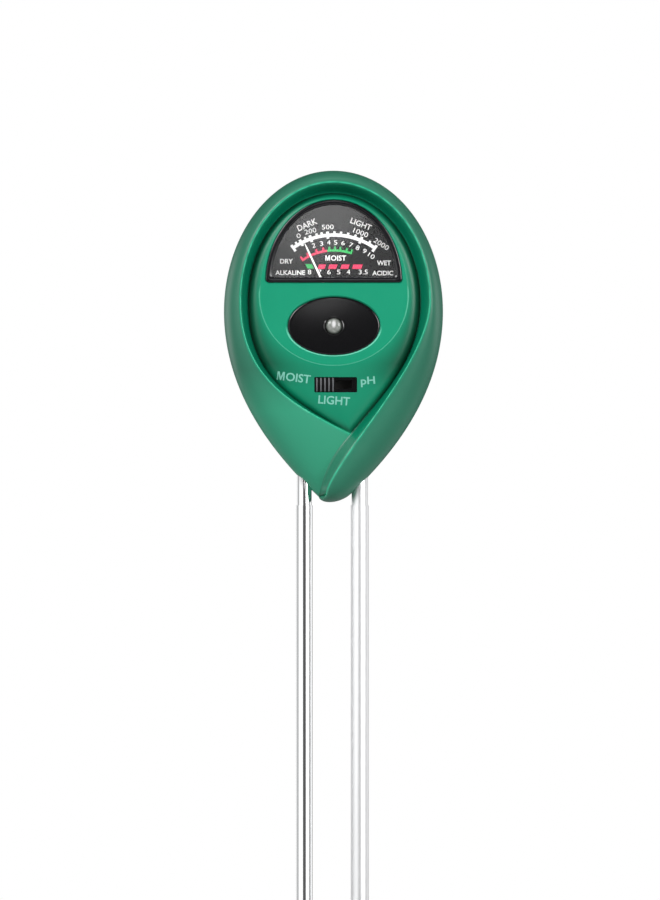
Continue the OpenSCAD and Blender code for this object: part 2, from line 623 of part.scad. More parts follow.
// ---- mode switch ----
knob_x = slot_x - slot_l / 2 + fit;     // left end of the knob at rest
knob_travel = slot_l - knob_l - 2 * fit;
switch_y = slot_y + 0.15;               // front of the switch housing
switch_back_y = switch_y + 4.2;
switch_x = 7.9;                         // half length of the switch housing
switch_z = 3.3;                         // and half its height
slider_z = 1.8;                         // half height of the slider
stem_x = 1.2;                           // half length of the knob's stem
stem_z = 1.1;                           // and half its height
stem_reach = (knob_travel + 2 * stem_x + 0.8) / 2;  // half length of the stem's slot
rib_r = 0.35;                           // radius of the knob's half-round ribs
module switch_knob() color("#1a1a1d") {
    block(knob_x, knob_x + knob_l, face_y + 0.4, slot_y - 0.1,
        slot_z - slot_h / 2 + fit, slot_z + slot_h / 2 - fit);
    pitch = knob_l / knob_ribs;
    for (i = [0:knob_ribs - 1])
        translate([knob_x + (i + 0.5) * pitch, face_y + 0.4, slot_z - slot_h / 2 + fit])
            cylinder(r = rib_r, h = slot_h - 2 * fit, $fn = 24);
    knob_stem(slot_y - 0.2);
}
module knob_stem(y0) block(knob_x + knob_l / 2 - stem_x, knob_x + knob_l / 2 + stem_x, y0,
    switch_y + 1.6, slot_z - stem_z, slot_z + stem_z);
module switch_slider() color("#d8d2c0") difference() {
    block(knob_x + 0.3, knob_x + knob_l - 0.3, switch_y + 1.0, switch_back_y - 0.4,
        slot_z - slider_z, slot_z + slider_z);
    knob_stem(switch_y);
}
module switch_housing() color("#121214") difference() {
    block(slot_x - switch_x, slot_x + switch_x, switch_y, switch_back_y,
        slot_z - switch_z, slot_z + switch_z);
    block(slot_x - slot_l / 2, slot_x + slot_l / 2, switch_y + 0.8, switch_back_y + 1,
        slot_z - slider_z - 0.2, slot_z + slider_z + 0.2);
    block(slot_x - stem_reach, slot_x + stem_reach, switch_y - 1, switch_y + 1,
        slot_z - stem_z - 0.2, slot_z + stem_z + 0.2);
}
board_y = switch_back_y + 1.3;
board_t = 1.2;
pin_r = 0.4;
module pins(r, y0, y1) for (x = [-6, -2, 2, 6]) for (z = [-2.2, 2.2])
    rod(slot_x + x, slot_z + z, r, y0, y1);
module switch_base() color("#2a2724") {
    block(slot_x - switch_x, slot_x + switch_x, switch_back_y, switch_back_y + 1,
        slot_z - switch_z, slot_z + switch_z);
    pins(pin_r, switch_back_y + 0.8, board_y + board_t + 0.8);
}
board_x = 12.5;                 // half width of the board
board_z0 = slot_z - 8;
board_z1 = slot_z + 7.5;
board_screw_xs = [slot_x - 10.4, slot_x + 10.4];
board_screw_z = slot_z + 4.5;
board_screw_r = 1;
board_boss_r = 2.1;
module circuit_board() color("#1f6b3a") difference() {
    block(slot_x - board_x, slot_x + board_x, board_y, board_y + board_t, board_z0,
        board_z1);
    pins(pin_r + 0.05, board_y - 1, board_y + board_t + 1);
    for (x = board_screw_xs)
        rod(x, board_screw_z, board_screw_r + 0.1, board_y - 1, board_y + board_t + 1);
}
module board_screws() color("silver") for (x = board_screw_xs)
    translate([x, 0, board_screw_z]) {
        rod(0, 0, board_screw_r, -ceiling + 0.5, board_y + board_t + 0.1);
        rod(0, 0, 1.9, board_y + board_t, board_y + board_t + 1.1);
    }

// ---- probes ----
module probe(x, d) translate([x, 0, 0]) {
    translate([0, 0, point_l - probe_l])
        cylinder(d = d, h = probe_l - point_l + neck_z, $fn = 64);
    translate([0, 0, neck_z - 1])
        cylinder(r = neck_r(d), h = probe_top - neck_z + 1, $fn = 64);
    translate([0, 0, -probe_l]) cylinder(d1 = 0.8, d2 = d, h = point_l, $fn = 64);
}
module left_probe() color("#c4c7ca") probe(-left_probe_x, left_probe_d);
module right_probe() color("#d2d5d8") probe(right_probe_x, right_probe_d);
module collar(x, r) translate([x, 0, collar_z]) difference() {
    cylinder(r = r + collar_t, h = collar_h, $fn = 48);
    translate([0, 0, -1]) cylinder(r = r + 0.05, h = collar_h + 2, $fn = 48);
}
module left_collar() color("#222226") collar(-left_probe_x, neck_r(left_probe_d));
module right_collar() color("#222226") collar(right_probe_x, neck_r(right_probe_d));
clip_z = rib_places[1] + rib_t + seat;
clip_h = 1.6;
module clip(x, r) translate([x, 0, clip_z]) difference() {
    union() {
        cylinder(r = r + 0.6, h = clip_h, $fn = 48);
        translate([-0.6, -r - 2.4, 0]) cube([1.2, 2.4, clip_h]);
    }
    translate([0, 0, -1]) cylinder(r = r + 0.03, h = 4, $fn = 48);
}
module probe_clips() color("#c9b06a") {
    clip(-left_probe_x, neck_r(left_probe_d));
    clip(right_probe_x, neck_r(right_probe_d));
}

// ---- leads to the board: from the probes' clips, the light cell and the movement ----
lead_r = 0.4;
cell_lead_y = panel_y + seat + 1.15;
meter_lead_x = 2.5;
meter_lead_y = 8;
module probe_lead(x, r, board_end) {
    z = clip_z + clip_h + 0.05;
    wire([[x, -r - 1.6, z], [x, -r - 1.6, z + 3], [board_end, board_y - 2.2, board_z0 + 2.5],
        [board_end, board_y - 0.05, board_z0 + 2.5]]);
}
module cell_lead(s) wire([[face_x + s, cell_lead_y, oval_z - 2.45],
    [face_x + s, cell_lead_y, oval_z - 6], [face_x + 1.4 * s, board_y - 3, board_z1 - 1.5],
    [face_x + 1.4 * s, board_y - 0.05, board_z1 - 1.5]]);
module meter_lead(s) wire([[face_x + s * meter_lead_x, meter_lead_y, pivot_z - ring_r + 0.4],
    [face_x + s * meter_lead_x, meter_lead_y, pivot_z - cup_r - 4],
    [face_x + s * (meter_lead_x + 1), 4, board_z1 - 1.8],
    [face_x + s * (meter_lead_x + 1), board_y + board_t + 0.05, board_z1 - 1.8]]);
module red_leads() color("#b3261e") {
    probe_lead(right_probe_x, neck_r(right_probe_d), 10.2);
    cell_lead(1);
    meter_lead(1);
}
module black_leads() color("#1c1c1e") {
    probe_lead(-left_probe_x, neck_r(left_probe_d), -9.2);
    cell_lead(-1);
    meter_lead(-1);
}

// ---- fixings of the case ----
thread_r = screw_d / 2 - 0.25;
screw_head_h = 1.8;
cross_x = 1.2;                  // half length of the cross slot's arms
cross_z = 0.28;                 // and half their width
module case_screws() color("#9a9da1") for (p = screw_places)
    translate([p[0], 0, p[1]]) difference() {
        union() {
            rod(0, 0, thread_r, screw_seat_y - screw_l + 0.3, screw_seat_y + 0.1);
            rod(0, 0, screw_head_d / 2, screw_seat_y, screw_seat_y + screw_head_h);
        }
        for (a = [0, 90]) rotate([0, a, 0])
            block(-cross_x, cross_x, screw_seat_y + screw_head_h / 2,
                screw_seat_y + screw_head_h + 1, -cross_z, cross_z);
    }

front_shell();
rear_shell();
meter_bezel();
meter_window();
dial_plate();
dial_screws();
meter_housing();
needle();
needle_spindle();
coil_former();
coil_winding();
front_hairspring();
rear_hairspring();
core_magnet();
iron_ring();
front_bridge();
rear_bridge();
bearing_screws();
sensor_plate();
sensor_lens();
light_cell();
switch_knob();
switch_slider();
switch_housing();
switch_base();
circuit_board();
board_screws();
left_probe();
right_probe();
left_collar();
right_collar();
probe_clips();
red_leads();
black_leads();
case_screws();
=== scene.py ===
"""Soil moisture meter: the finish of every piece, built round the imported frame.

Lengths in the shape functions are millimetres in the frame's own axes: X to the right,
Y away from the reader, Z up. A mesh is turned to metres when it is made.
"""
import math
from contextlib import contextmanager

import bmesh
import bpy
import numpy as np
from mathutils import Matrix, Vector
from mathutils.bvhtree import BVHTree


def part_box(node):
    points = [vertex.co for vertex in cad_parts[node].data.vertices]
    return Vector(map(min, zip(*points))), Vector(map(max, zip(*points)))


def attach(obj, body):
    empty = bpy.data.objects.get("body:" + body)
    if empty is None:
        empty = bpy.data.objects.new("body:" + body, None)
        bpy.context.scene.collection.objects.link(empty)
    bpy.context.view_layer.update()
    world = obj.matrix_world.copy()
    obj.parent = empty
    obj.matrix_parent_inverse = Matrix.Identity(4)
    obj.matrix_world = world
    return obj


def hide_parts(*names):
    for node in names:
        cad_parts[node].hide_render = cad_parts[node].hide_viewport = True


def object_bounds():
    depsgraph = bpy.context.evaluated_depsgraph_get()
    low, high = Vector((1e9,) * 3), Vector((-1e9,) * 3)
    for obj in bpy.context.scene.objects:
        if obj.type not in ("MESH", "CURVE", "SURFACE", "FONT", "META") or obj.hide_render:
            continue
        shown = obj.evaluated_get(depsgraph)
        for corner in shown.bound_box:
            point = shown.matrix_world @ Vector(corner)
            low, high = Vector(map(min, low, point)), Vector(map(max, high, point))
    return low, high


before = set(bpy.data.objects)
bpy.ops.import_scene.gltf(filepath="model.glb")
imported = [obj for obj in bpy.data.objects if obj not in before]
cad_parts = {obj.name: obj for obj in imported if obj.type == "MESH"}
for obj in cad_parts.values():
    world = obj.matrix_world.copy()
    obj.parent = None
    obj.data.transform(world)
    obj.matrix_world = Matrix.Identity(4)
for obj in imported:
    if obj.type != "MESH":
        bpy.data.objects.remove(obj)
CAD_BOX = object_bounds()

bl_info = {
    "name": "Soil Moisture Meter",
    "version": (1, 0, 0),
    "blender": (4, 5, 0),
    "location": "3D View > Sidebar > Soil Meter",
    "description": "Builds the looks of a soil moisture meter round its packed frame",
    "category": "Add Mesh",
}

MM = 0.001


def node_box(name):
    """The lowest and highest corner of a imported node, in millimetres."""
    low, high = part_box(name)
    return np.array(low) / MM, np.array(high) / MM


# ---------------------------------------------------------------- sizes from the frame
HEAD_LOW, HEAD_HIGH = node_box("front_shell")
HEAD_W = HEAD_HIGH[0] - HEAD_LOW[0]
HEAD_H = HEAD_HIGH[2]
CREST_DEPTH = -HEAD_LOW[1]
REAR_DEPTH = node_box("rear_shell")[1][1]
BEZEL_LOW, BEZEL_HIGH = node_box("meter_bezel")
WINDOW_LOW, WINDOW_HIGH = node_box("meter_window")
PLATE_LOW, PLATE_HIGH = node_box("sensor_plate")
LENS_LOW, LENS_HIGH = node_box("sensor_lens")
KNOB_LOW, KNOB_HIGH = node_box("switch_knob")
DIAL_LOW, DIAL_HIGH = node_box("dial_plate")
COIL_LOW, COIL_HIGH = node_box("iron_ring")
FACE_X = (BEZEL_LOW[0] + BEZEL_HIGH[0]) / 2
PIVOT_Z = (COIL_LOW[2] + COIL_HIGH[2]) / 2
OVAL_Z = (PLATE_LOW[2] + PLATE_HIGH[2]) / 2
BEZEL_Z = BEZEL_LOW[2]
FACE_DEPTH = -PLATE_LOW[1] + 0.1
PROBES = {name: node_box(name) for name in ("left_probe", "right_probe")}

# ---------------------------------------------------------------- sizes of the finish
WALL = 2.0
GROOVE_DEPTH = 7.5
FOLD_DEPTH = 8.0
CAVITY_TIP, CAVITY_TIP_RISE = 4, 1.6  # the hollow's tip, and more for each mm of wall
CAVITY_FLARE, CAVITY_DROP = 1.6, 1.04  # how full its lower half is, sideways and down
BACK_SHARE, BACK_LOW = 0.72, 30  # how far in the level back lies, and where it begins
CREST_FALL = 1.5  # how much lower the right leaf's crest is at the fold
RIM_RIGHT = 3.85
RIM_LEFT = 4.85
RIM_TOP = 3.6
SLOPE_W = 2.8
SLOPE_START = 1.7  # sets the first rows of the slope close together
SLOPE_CLIMB = 1.4  # the face climbs by two thirds within this distance of the groove
ISLAND_STEP = 0.25
FIT = 0.15
SHELF = GROOVE_DEPTH - WALL
CEILING = SHELF + 0.1
SLOT_X, SLOT_Z = 0.65, OVAL_Z - 16.9
SLOT_L, SLOT_H = 12.3, 4.4
LENS_R, LENS_HOLE_R, LENS_FLANGE_R = 2.3, 2.45, 3.0
LENS_RISE = 1.05
CASE_BOSS_R, CASE_PILOT_R, CASE_SCREW_R = 2.9, 1.1, 2.4
BOARD_BOSS_R, BOARD_PILOT_R, BOARD_SCREW_R = 2.1, 1.05, 1.9
REAR_BOSS_R, SCREW_HOLE_R, SCREW_HEAD_R = 3.5, 1.45, 2.6
SCREW_SEAT, PILOT_L = 6.5, 10.5
NECK_Z, NECK_STEP = -1.0, 0.25
POINT_L, POINT_R = 6, 0.62
RIB_T, RIB_REACH = 1.0, 1.8
KNOB_RIBS, KNOB_RIB_R = 5, 0.35
NEEDLE_LONG, NEEDLE_TAIL, NEEDLE_LEAN, NEEDLE_GAP = 19.8, 4.4, -25, 0.9
NEEDLE_T = 0.3
PHOTO_MM = 0.289  # millimetres to a pixel of the photograph
PHOTO_X, PHOTO_FOOT = 333.5, 501


def hex_to_linear(code):
    """Turns an sRGB hex colour such as "#1c8f66" into linear red, green and blue."""
    part = np.array([int(code[i:i + 2], 16) for i in (1, 3, 5)]) / 255
    linear = np.where(part <= 0.04045, part / 12.92, ((part + 0.055) / 1.055) ** 2.4)
    return tuple(float(v) for v in linear)


# ---------------------------------------------------------------- curves of the head
HALF_W = HEAD_W / 2
DRAWN_H = 95.7  # the head's height when its curves were drawn
WIDE_Z = 55 * HEAD_H / DRAWN_H
EGG_Z = 58 * HEAD_H / DRAWN_H
FOLD = (4.8, 19.7)
LIP_END = (-4.3, 1.5)
GROOVE_L = HALF_W - RIM_LEFT - SLOPE_W + 0.6
GROOVE_R = HALF_W - RIM_RIGHT - SLOPE_W
GROOVE_TOP = HEAD_H - RIM_TOP - SLOPE_W - 0.3
ISLAND_Z = EGG_Z + 1.5
ISLAND_W = 21.6
ISLAND_LOW = 20.3
ISLAND_HIGH = GROOVE_TOP - 1.5 - ISLAND_Z

OUTLINE_RIGHT = ((HALF_W, WIDE_Z), (HALF_W, 31.4), (17, 13.5), (4.9, 2.2))
OUTLINE_TIP = ((4.9, 2.2), (1.9, -0.5), (-3.6, -0.9), LIP_END)
OUTLINE_LEFT = ((-HALF_W, WIDE_Z), (-HALF_W, 31.4), (-17, 13.5), LIP_END)
CREST_RIGHT = ((HALF_W - RIM_RIGHT, EGG_Z), (HALF_W - RIM_RIGHT, 40), (-0.3, 12),
               (-2.2, 2))
CREST_LEFT = ((RIM_LEFT - HALF_W, EGG_Z), (RIM_LEFT - HALF_W, 36), (-12.5, 28.2), FOLD)
GROOVE_RIGHT = ((GROOVE_R, EGG_Z), (GROOVE_R, 42), (16, 33), FOLD)
GROOVE_LEFT = ((-GROOVE_L, EGG_Z), (-GROOVE_L, 39), (-16.5, 31.5), FOLD)
LIP = (LIP_END, (-2.6, 9.5), (-0.2, 14.2), FOLD)

# Stations round the head, from the lip's end (0) past the tip, the fold, the widest
# points and the top to the lip's end again
U_TIP, U_FOLD, U_RIGHT, U_TOP, U_LEFT, U_END = 6, 9, 25, 41, 57, 81
ARC = U_TOP - U_RIGHT  # each quarter and the right leaf have as many
LEAF = U_END - U_LEFT
LIP_BEND = 10
# Stations across the rim, from the outline (0) over the crest to the groove
R_CREST, R_FOOT = 9, 13
# Shares of the right curves that lie below the fold
OUTLINE_BELOW, CREST_BELOW = 0.25, 0.35
RIM_STEPS, HOLLOW_STEPS, FACE_STEPS = 4, 2, 29
OVAL_STEPS, D_STEPS, TURN_STEPS = 160, 240, 96


def mix(a, b, share):
    """The value share of the way from a to b."""
    return a + (b - a) * share


def bezier(points, t):
    """A cubic curve through its end points, pulled towards its two middle points."""
    t = np.asarray(t, float)[..., None]
    a, b, c, d = (np.array(p, float) for p in points)
    return (a * (1 - t) ** 3 + 3 * b * t * (1 - t) ** 2 + 3 * c * t ** 2 * (1 - t)
            + d * t ** 3)


def quarter(width, top, middle, share):
    """A quarter ellipse from the top (share 0) down to its widest point (share 1)."""
    a = np.radians(90 * np.asarray(share, float))
    return np.stack([width * np.sin(a), middle + (top - middle) * np.cos(a)], -1)


def along(u, *stretches):
    """Joins stretches into one line: each is its last station and a function of u."""
    result = np.zeros(np.shape(u) + (2,))
    done = np.zeros(np.shape(u), bool)
    for last, curve in stretches:
        here = (u <= last) & ~done
        result[here] = curve(u[here])
        done |= here
    return result


def lip_share(u):
    """How far along the lip a station lies: slow at the lip's end, faster at the fold."""
    return 1 - np.cos(np.radians(90 * u / U_FOLD))


def head_line(u, right, wide_right, wide_left, top, middle, left):
    """A line round the head: the given stretches up the right, two quarter ellipses over
    the widest points and one curve down the left."""
    return along(
        u, *right,
        (U_TOP, lambda v: quarter(wide_right, top, middle, (U_TOP - v) / ARC)),
        (U_LEFT, lambda v: quarter(-wide_left, top, middle, (v - U_TOP) / ARC)),
        (U_END, lambda v: bezier(left, (v - U_LEFT) / LEAF)))


def outline(u):
    """The head's outline, with a rounded tip below."""
    right = (
        (U_TIP, lambda v: bezier(OUTLINE_TIP, 1 - v / U_TIP)),
        (U_FOLD, lambda v: bezier(OUTLINE_RIGHT, 1 - OUTLINE_BELOW * (v - U_TIP)
                                  / (U_FOLD - U_TIP))),
        (U_RIGHT, lambda v: bezier(OUTLINE_RIGHT, (1 - OUTLINE_BELOW) * (U_RIGHT - v) / ARC)))
    return head_line(u, right, HALF_W, HALF_W, HEAD_H, WIDE_Z, OUTLINE_LEFT)


def crest(u):
    """The rim's highest line; on the right it runs on past the fold to the lip's end."""
    def lip(v):
        return bezier(CREST_RIGHT, 1 - CREST_BELOW * lip_share(v))

    right = (
        (1, lambda v: mix(np.array(LIP_END), lip(v), np.sin(np.pi / 2 * v)[:, None])),
        (U_FOLD, lip),
        (U_RIGHT, lambda v: bezier(CREST_RIGHT, (1 - CREST_BELOW) * (U_RIGHT - v) / ARC)))
    return head_line(u, right, HALF_W - RIM_RIGHT, HALF_W - RIM_LEFT, HEAD_H - RIM_TOP,
                     EGG_Z, CREST_LEFT)


def foot(u):
    """The groove round the face, and below the fold the edge where the lip lies down."""
    right = ((U_FOLD, lambda v: bezier(LIP, lip_share(v))),
             (U_RIGHT, lambda v: bezier(GROOVE_RIGHT, (U_RIGHT - v) / ARC)))
    return head_line(u, right, GROOVE_R, GROOVE_L, GROOVE_TOP, EGG_Z, GROOVE_LEFT)


def up_lip(u):
    """Rises like a quarter sine from the lip's end (0) to the fold (1)."""
    return np.sin(np.radians(90 * np.clip(u / U_FOLD, 0, 1)))


def down_leaf(u):
    """The share of the way down the left leaf."""
    return np.clip((u - U_LEFT) / LEAF, 0, 1)


def height_line(u, lip, right, top, left):
    """Joins heights round the head: below the fold, right leaf, top and left leaf."""
    return np.select([u <= U_FOLD, u <= U_RIGHT, u <= U_LEFT], [lip, right, top], left)


def crest_height(u):
    """Height of the rim in front of the parting plane, falling towards the fold."""
    return height_line(u, (CREST_DEPTH - CREST_FALL) * up_lip(u) ** 0.7,
                       CREST_DEPTH - CREST_FALL * ((U_RIGHT - u) / ARC) ** 2, CREST_DEPTH,
                       mix(CREST_DEPTH, FOLD_DEPTH, down_leaf(u) ** 2.5))


def foot_height(u):
    """Height of the groove, and below the fold of the leaf that the lip lies on."""
    return height_line(u, FOLD_DEPTH * up_lip(u),
                       mix(GROOVE_DEPTH, FOLD_DEPTH, ((U_RIGHT - u) / ARC) ** 4), GROOVE_DEPTH,
                       mix(GROOVE_DEPTH, FOLD_DEPTH, down_leaf(u) ** 4))


def rim_surface(u, r):
    """The leaf: a quarter ellipse from the outline up to the crest, then a soft S down
    to the groove. The last stations of the left leaf bend to follow the lip."""
    up = np.radians(90 * np.minimum(r, R_CREST) / R_CREST)
    across = 1 - np.cos(up)
    down = np.clip((r - R_CREST) / (R_FOOT - R_CREST), 0, 1)
    o, c, f = outline(u), crest(u), foot(u)
    bend = np.clip((u - U_END + LIP_BEND) / LIP_BEND, 0, 1) ** 2
    bow = bezier(LIP, across) - mix(np.array(LIP_END), np.array(FOLD), across[..., None])
    rising = mix(o, c, across[..., None]) + bend[..., None] * bow
    flat = np.where((r <= R_CREST)[..., None], rising, mix(c, f, down[..., None]))
    high = np.where(r <= R_CREST, crest_height(u) * np.sin(up),
                    mix(crest_height(u), foot_height(u), (1 - np.cos(np.pi * down)) / 2))
    return np.stack([flat[..., 0], -high, flat[..., 1]], -1)


def island_point(p, scale=1.0):
    """The island's edge as seen from its centre towards p: half a wide ellipse below,
    half a taller one above."""
    a = np.arctan2(p[..., 1] - ISLAND_Z, p[..., 0] - FACE_X)
    reach = np.where(np.sin(a) < 0, ISLAND_LOW, ISLAND_HIGH)
    r = scale / np.hypot(np.cos(a) / ISLAND_W, np.sin(a) / reach)
    return np.stack([FACE_X + r * np.cos(a), ISLAND_Z + r * np.sin(a)], -1)


def face_surface(u, w):
    """The domed face from the groove (w 0) in to the island (w 1): it climbs steeply
    beside the groove and then eases off."""
    g = foot(u)
    s = island_point(g)
    gap = np.linalg.norm(s - g, axis=-1)
    way = w ** SLOPE_START
    share = 1 - (1 - way) * np.exp(-way * gap / SLOPE_CLIMB)
    p = mix(g, s, way[..., None])
    high = mix(foot_height(u), FACE_DEPTH - ISLAND_STEP, share)
    return np.stack([p[..., 0], -high, p[..., 1]], -1)


def cavity(u, inset):
    """The inside of the shells: a plain teardrop within the outline, half an ellipse
    above the widest points and a narrowing curve down to its own tip below them."""
    width, tip = HALF_W - inset, CAVITY_TIP + CAVITY_TIP_RISE * inset
    b = np.radians(90 * np.where(u <= U_RIGHT, u / U_RIGHT, (U_END - u) / LEAF))
    low = np.stack([np.where(u <= U_RIGHT, width, -width) * np.abs(np.sin(b)) ** CAVITY_FLARE,
                    WIDE_Z - (WIDE_Z - tip) * np.abs(np.cos(b)) ** CAVITY_DROP], -1)
    side = np.where(u <= U_TOP, width, -width)
    high = quarter(side, HEAD_H - inset, WIDE_Z, np.abs(U_TOP - u) / ARC)
    return np.where(((u > U_RIGHT) & (u <= U_LEFT))[..., None], high, low)


def lift(p, y):
    """Puts a flat outline at depth y."""
    return np.stack([p[..., 0], np.full(p.shape[:-1], float(y)), p[..., 1]], -1)


def rear_ring(p, depth, angle):
    """The outline carried back and inwards along a quarter ellipse to a level back."""
    centre = np.stack([np.full(len(p), FACE_X), np.clip(p[:, 1], BACK_LOW, WIDE_Z)], -1)
    s = mix(p, centre, BACK_SHARE * (1 - math.cos(angle)))
    return lift(s, depth * math.sin(angle))


# ---------------------------------------------------------------- mesh building
def new_mesh(name, points, faces):
    """Makes an object from points in millimetres and faces as lists of indices."""
    mesh = bpy.data.meshes.new(name)
    mesh.from_pydata((np.asarray(points, float) * MM).tolist(), [],
                     [list(face) for face in faces])
    mesh.update()
    obj = bpy.data.objects.new(name, mesh)
    bpy.context.scene.collection.objects.link(obj)
    return obj


@contextmanager
def editing(mesh, merge):
    """A mesh opened for editing with its doubles merged, written back afterwards."""
    bm = bmesh.new()
    bm.from_mesh(mesh)
    bmesh.ops.remove_doubles(bm, verts=bm.verts, dist=merge)
    yield bm
    bm.to_mesh(mesh)
    bm.free()


def tidy_mesh(obj, sharp=35):
    """Merges doubles, drops faces without area and marks the edges that turn sharply."""
    with editing(obj.data, 1e-7) as bm:
        bmesh.ops.dissolve_degenerate(bm, edges=bm.edges, dist=1e-7)
        if bm.calc_volume(signed=True) < 0:
            bmesh.ops.reverse_faces(bm, faces=bm.faces)
    obj.data.shade_smooth()
    obj.data.set_sharp_from_angle(angle=math.radians(sharp))
    return obj


def grid_quads(ids, flip=False):
    """Quads over a grid of vertex numbers, facing one way or the other."""
    a, b, c, d = ids[:-1, :-1], ids[:-1, 1:], ids[1:, 1:], ids[1:, :-1]
    return np.stack((a, d, c, b) if flip else (a, b, c, d), -1).reshape(-1, 4)


def ring_quads(rings, count, closed):
    """Quads between rings of equally many points; the rings run in order."""
    ids = np.arange(rings * count).reshape(rings, count)
    ids = np.hstack([ids, ids[:, :1]])
    return grid_quads(np.vstack([ids, ids[:1]]) if closed else ids)


def ring_solid(name, rings, closed=False, sharp=35):
    """A solid through rings of points (rings, count, 3), capped at both ends by a fan,
    or closed on itself like a tube bent into a hoop."""
    rings = np.asarray(rings, float)
    if closed:
        points, faces = rings.reshape(-1, 3), ring_quads(*rings.shape[:2], True).tolist()
        return tidy_mesh(new_mesh(name, points, faces), sharp)
    start, end = ([mix(ring, ring.mean(0), share) for share in (0.12, 0.03)]
                  for ring in (rings[0], rings[-1]))
    hubs = np.stack([start[0].mean(0), end[0].mean(0)])
    rings = np.concatenate([start, rings, end[::-1]])
    m, count = rings.shape[:2]
    i = np.arange(count)
    j = (i + 1) % count
    last, hub = (m - 1) * count, m * count
    fans = np.vstack([np.stack([j, i, np.full(count, hub)], -1),
                      np.stack([last + i, last + j, np.full(count, hub + 1)], -1)])
    return tidy_mesh(new_mesh(name, np.vstack([rings.reshape(-1, 3), hubs]),
                              ring_quads(m, count, False).tolist() + fans.tolist()), sharp)


def revolve(name, profile, centre, axis="y", sharp=35):
    """A profile of (radius, place along the axis) turned about the Y or Z axis."""
    a = np.linspace(0, 2 * np.pi, TURN_STEPS, endpoint=False)
    profile = np.asarray(profile, float)
    r, t = profile[:, :1], profile[:, 1:] + 0 * a
    around = (r * np.cos(a), t, r * np.sin(a)) if axis == "y" else (
        r * np.cos(a), -r * np.sin(a), t)
    return ring_solid(name, np.stack(around, -1) + np.array(centre), sharp=sharp)


def box_solid(name, low, high, edge):
    """A block with its four upright edges, seen from the front, rounded by edge."""
    centre = (np.array(low) + np.array(high)) / 2
    half = (np.array(high) - np.array(low)) / 2
    a = np.radians(np.concatenate([np.linspace(q, q + 90, 9) for q in (0, 90, 180, 270)]))
    corner = np.repeat([(1, 1), (-1, 1), (-1, -1), (1, -1)], 9, axis=0)
    flat = corner * (half[[0, 2]] - edge) + edge * np.stack([np.cos(a), np.sin(a)], -1)
    flat = flat + centre[[0, 2]]
    return ring_solid(name, [lift(flat, low[1]), lift(flat, high[1])])


def cut(body, cutters):
    """Takes each cutter out of the body and deletes the cutters."""
    for cutter in cutters:
        step = body.modifiers.new("cut", "BOOLEAN")
        step.operation = "DIFFERENCE"
        step.solver = "MANIFOLD"
        step.object = cutter
    graph = bpy.context.evaluated_depsgraph_get()
    done = bpy.data.meshes.new_from_object(body.evaluated_get(graph))
    body.modifiers.clear()
    body.data = done
    for cutter in cutters:
        bpy.data.objects.remove(cutter, do_unlink=True)


def d_outline(grow):
    """The dial's D: the farthest point of a cut-off ellipse in each direction, pushed
    out by the corner radius, which rounds the two lower corners."""
    corner = 1.0
    a = np.radians(np.linspace(0, 360, D_STEPS, endpoint=False) + 0.01)
    half = (BEZEL_HIGH[0] - BEZEL_LOW[0]) / 2 + grow - corner
    tall = BEZEL_HIGH[2] - BEZEL_LOW[2] + grow - corner
    floor = corner - grow
    d = np.hypot(half * np.cos(a), tall * np.sin(a))
    x, z = half ** 2 * np.cos(a) / d, tall ** 2 * np.sin(a) / d
    edge = half * math.sqrt(1 - (max(floor, 0) / tall) ** 2)
    below = z < floor
    x = np.where(below, np.where(np.cos(a) > 0, edge, -edge), x)
    z = np.where(below, floor, z)
    return np.stack([FACE_X + x + corner * np.cos(a), BEZEL_Z + z + corner * np.sin(a)], -1)


def oval_outline(grow):
    """The sensor plate's oval, grown by a distance."""
    a = np.linspace(0, 2 * np.pi, OVAL_STEPS, endpoint=False)
    half = (PLATE_HIGH - PLATE_LOW) / 2
    return np.stack([FACE_X + (half[0] + grow) * np.cos(a),
                     OVAL_Z + (half[2] + grow) * np.sin(a)], -1)


def layers(path, section):
    """Rings of an outline: each pair of the section is its growth and its depth."""
    return [lift(path(grow), y) for grow, y in section]


def finish(obj, body, kind, slot, *replaces):
    """Gives a piece its material and body, and hides the nodes it stands for; the slot is not
    used.
    """
    dress(obj, kind)
    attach(obj, body)
    if replaces:
        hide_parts(*replaces)


def dress(obj, kind):
    """Gives an object one of the materials in place of those it has."""
    obj.data.materials.clear()
    obj.data.materials.append(material(kind))


# ---------------------------------------------------------------- materials
def add(tree, kind, settings=None, values=None, links=None):
    """Adds one node with its settings, its socket values and what feeds it."""
    node = tree.nodes.new(kind)
    for key, value in (settings or {}).items():
        setattr(node, key, value)
    for key, value in (values or {}).items():
        node.inputs[key].default_value = value
    for key, source in (links or {}).items():
        tree.links.new(source, node.inputs[key])
    return node


def start_material(name, shader=None):
    """An empty node material with one Principled shader, its output and a mapping."""
    mat = bpy.data.materials.new(name)
    mat.use_nodes = True
    tree = mat.node_tree
    tree.nodes.clear()
    base = add(tree, "ShaderNodeBsdfPrincipled", values=shader)
    add(tree, "ShaderNodeOutputMaterial", links={"Surface": base.outputs[0]})
    place = add(tree, "ShaderNodeTexCoord").outputs["Object"]
    return mat, tree, base, place


def show(tree, shader):
    """Makes a material's surface another shader than the first."""
    out = next(n for n in tree.nodes if n.type == "OUTPUT_MATERIAL")
    tree.links.new(shader.outputs[0], out.inputs["Surface"])


def calc(tree, operation, *inputs):
    """A math node's result; each input is a number or a socket."""
    node = add(tree, "ShaderNodeMath", {"operation": operation})
    for socket, value in zip(node.inputs, inputs):
        if isinstance(value, bpy.types.NodeSocket):
            tree.links.new(value, socket)
        else:
            socket.default_value = value
    return node.outputs[0]


def ranged(tree, value, start, end, low=0.0, high=1.0, easing="LINEAR"):
    """A value carried from the range start to end over to low to high, and kept in it."""
    return add(tree, "ShaderNodeMapRange", {"interpolation_type": easing},
               {"From Min": start, "From Max": end, "To Min": low, "To Max": high},
               {"Value": value}).outputs["Result"]


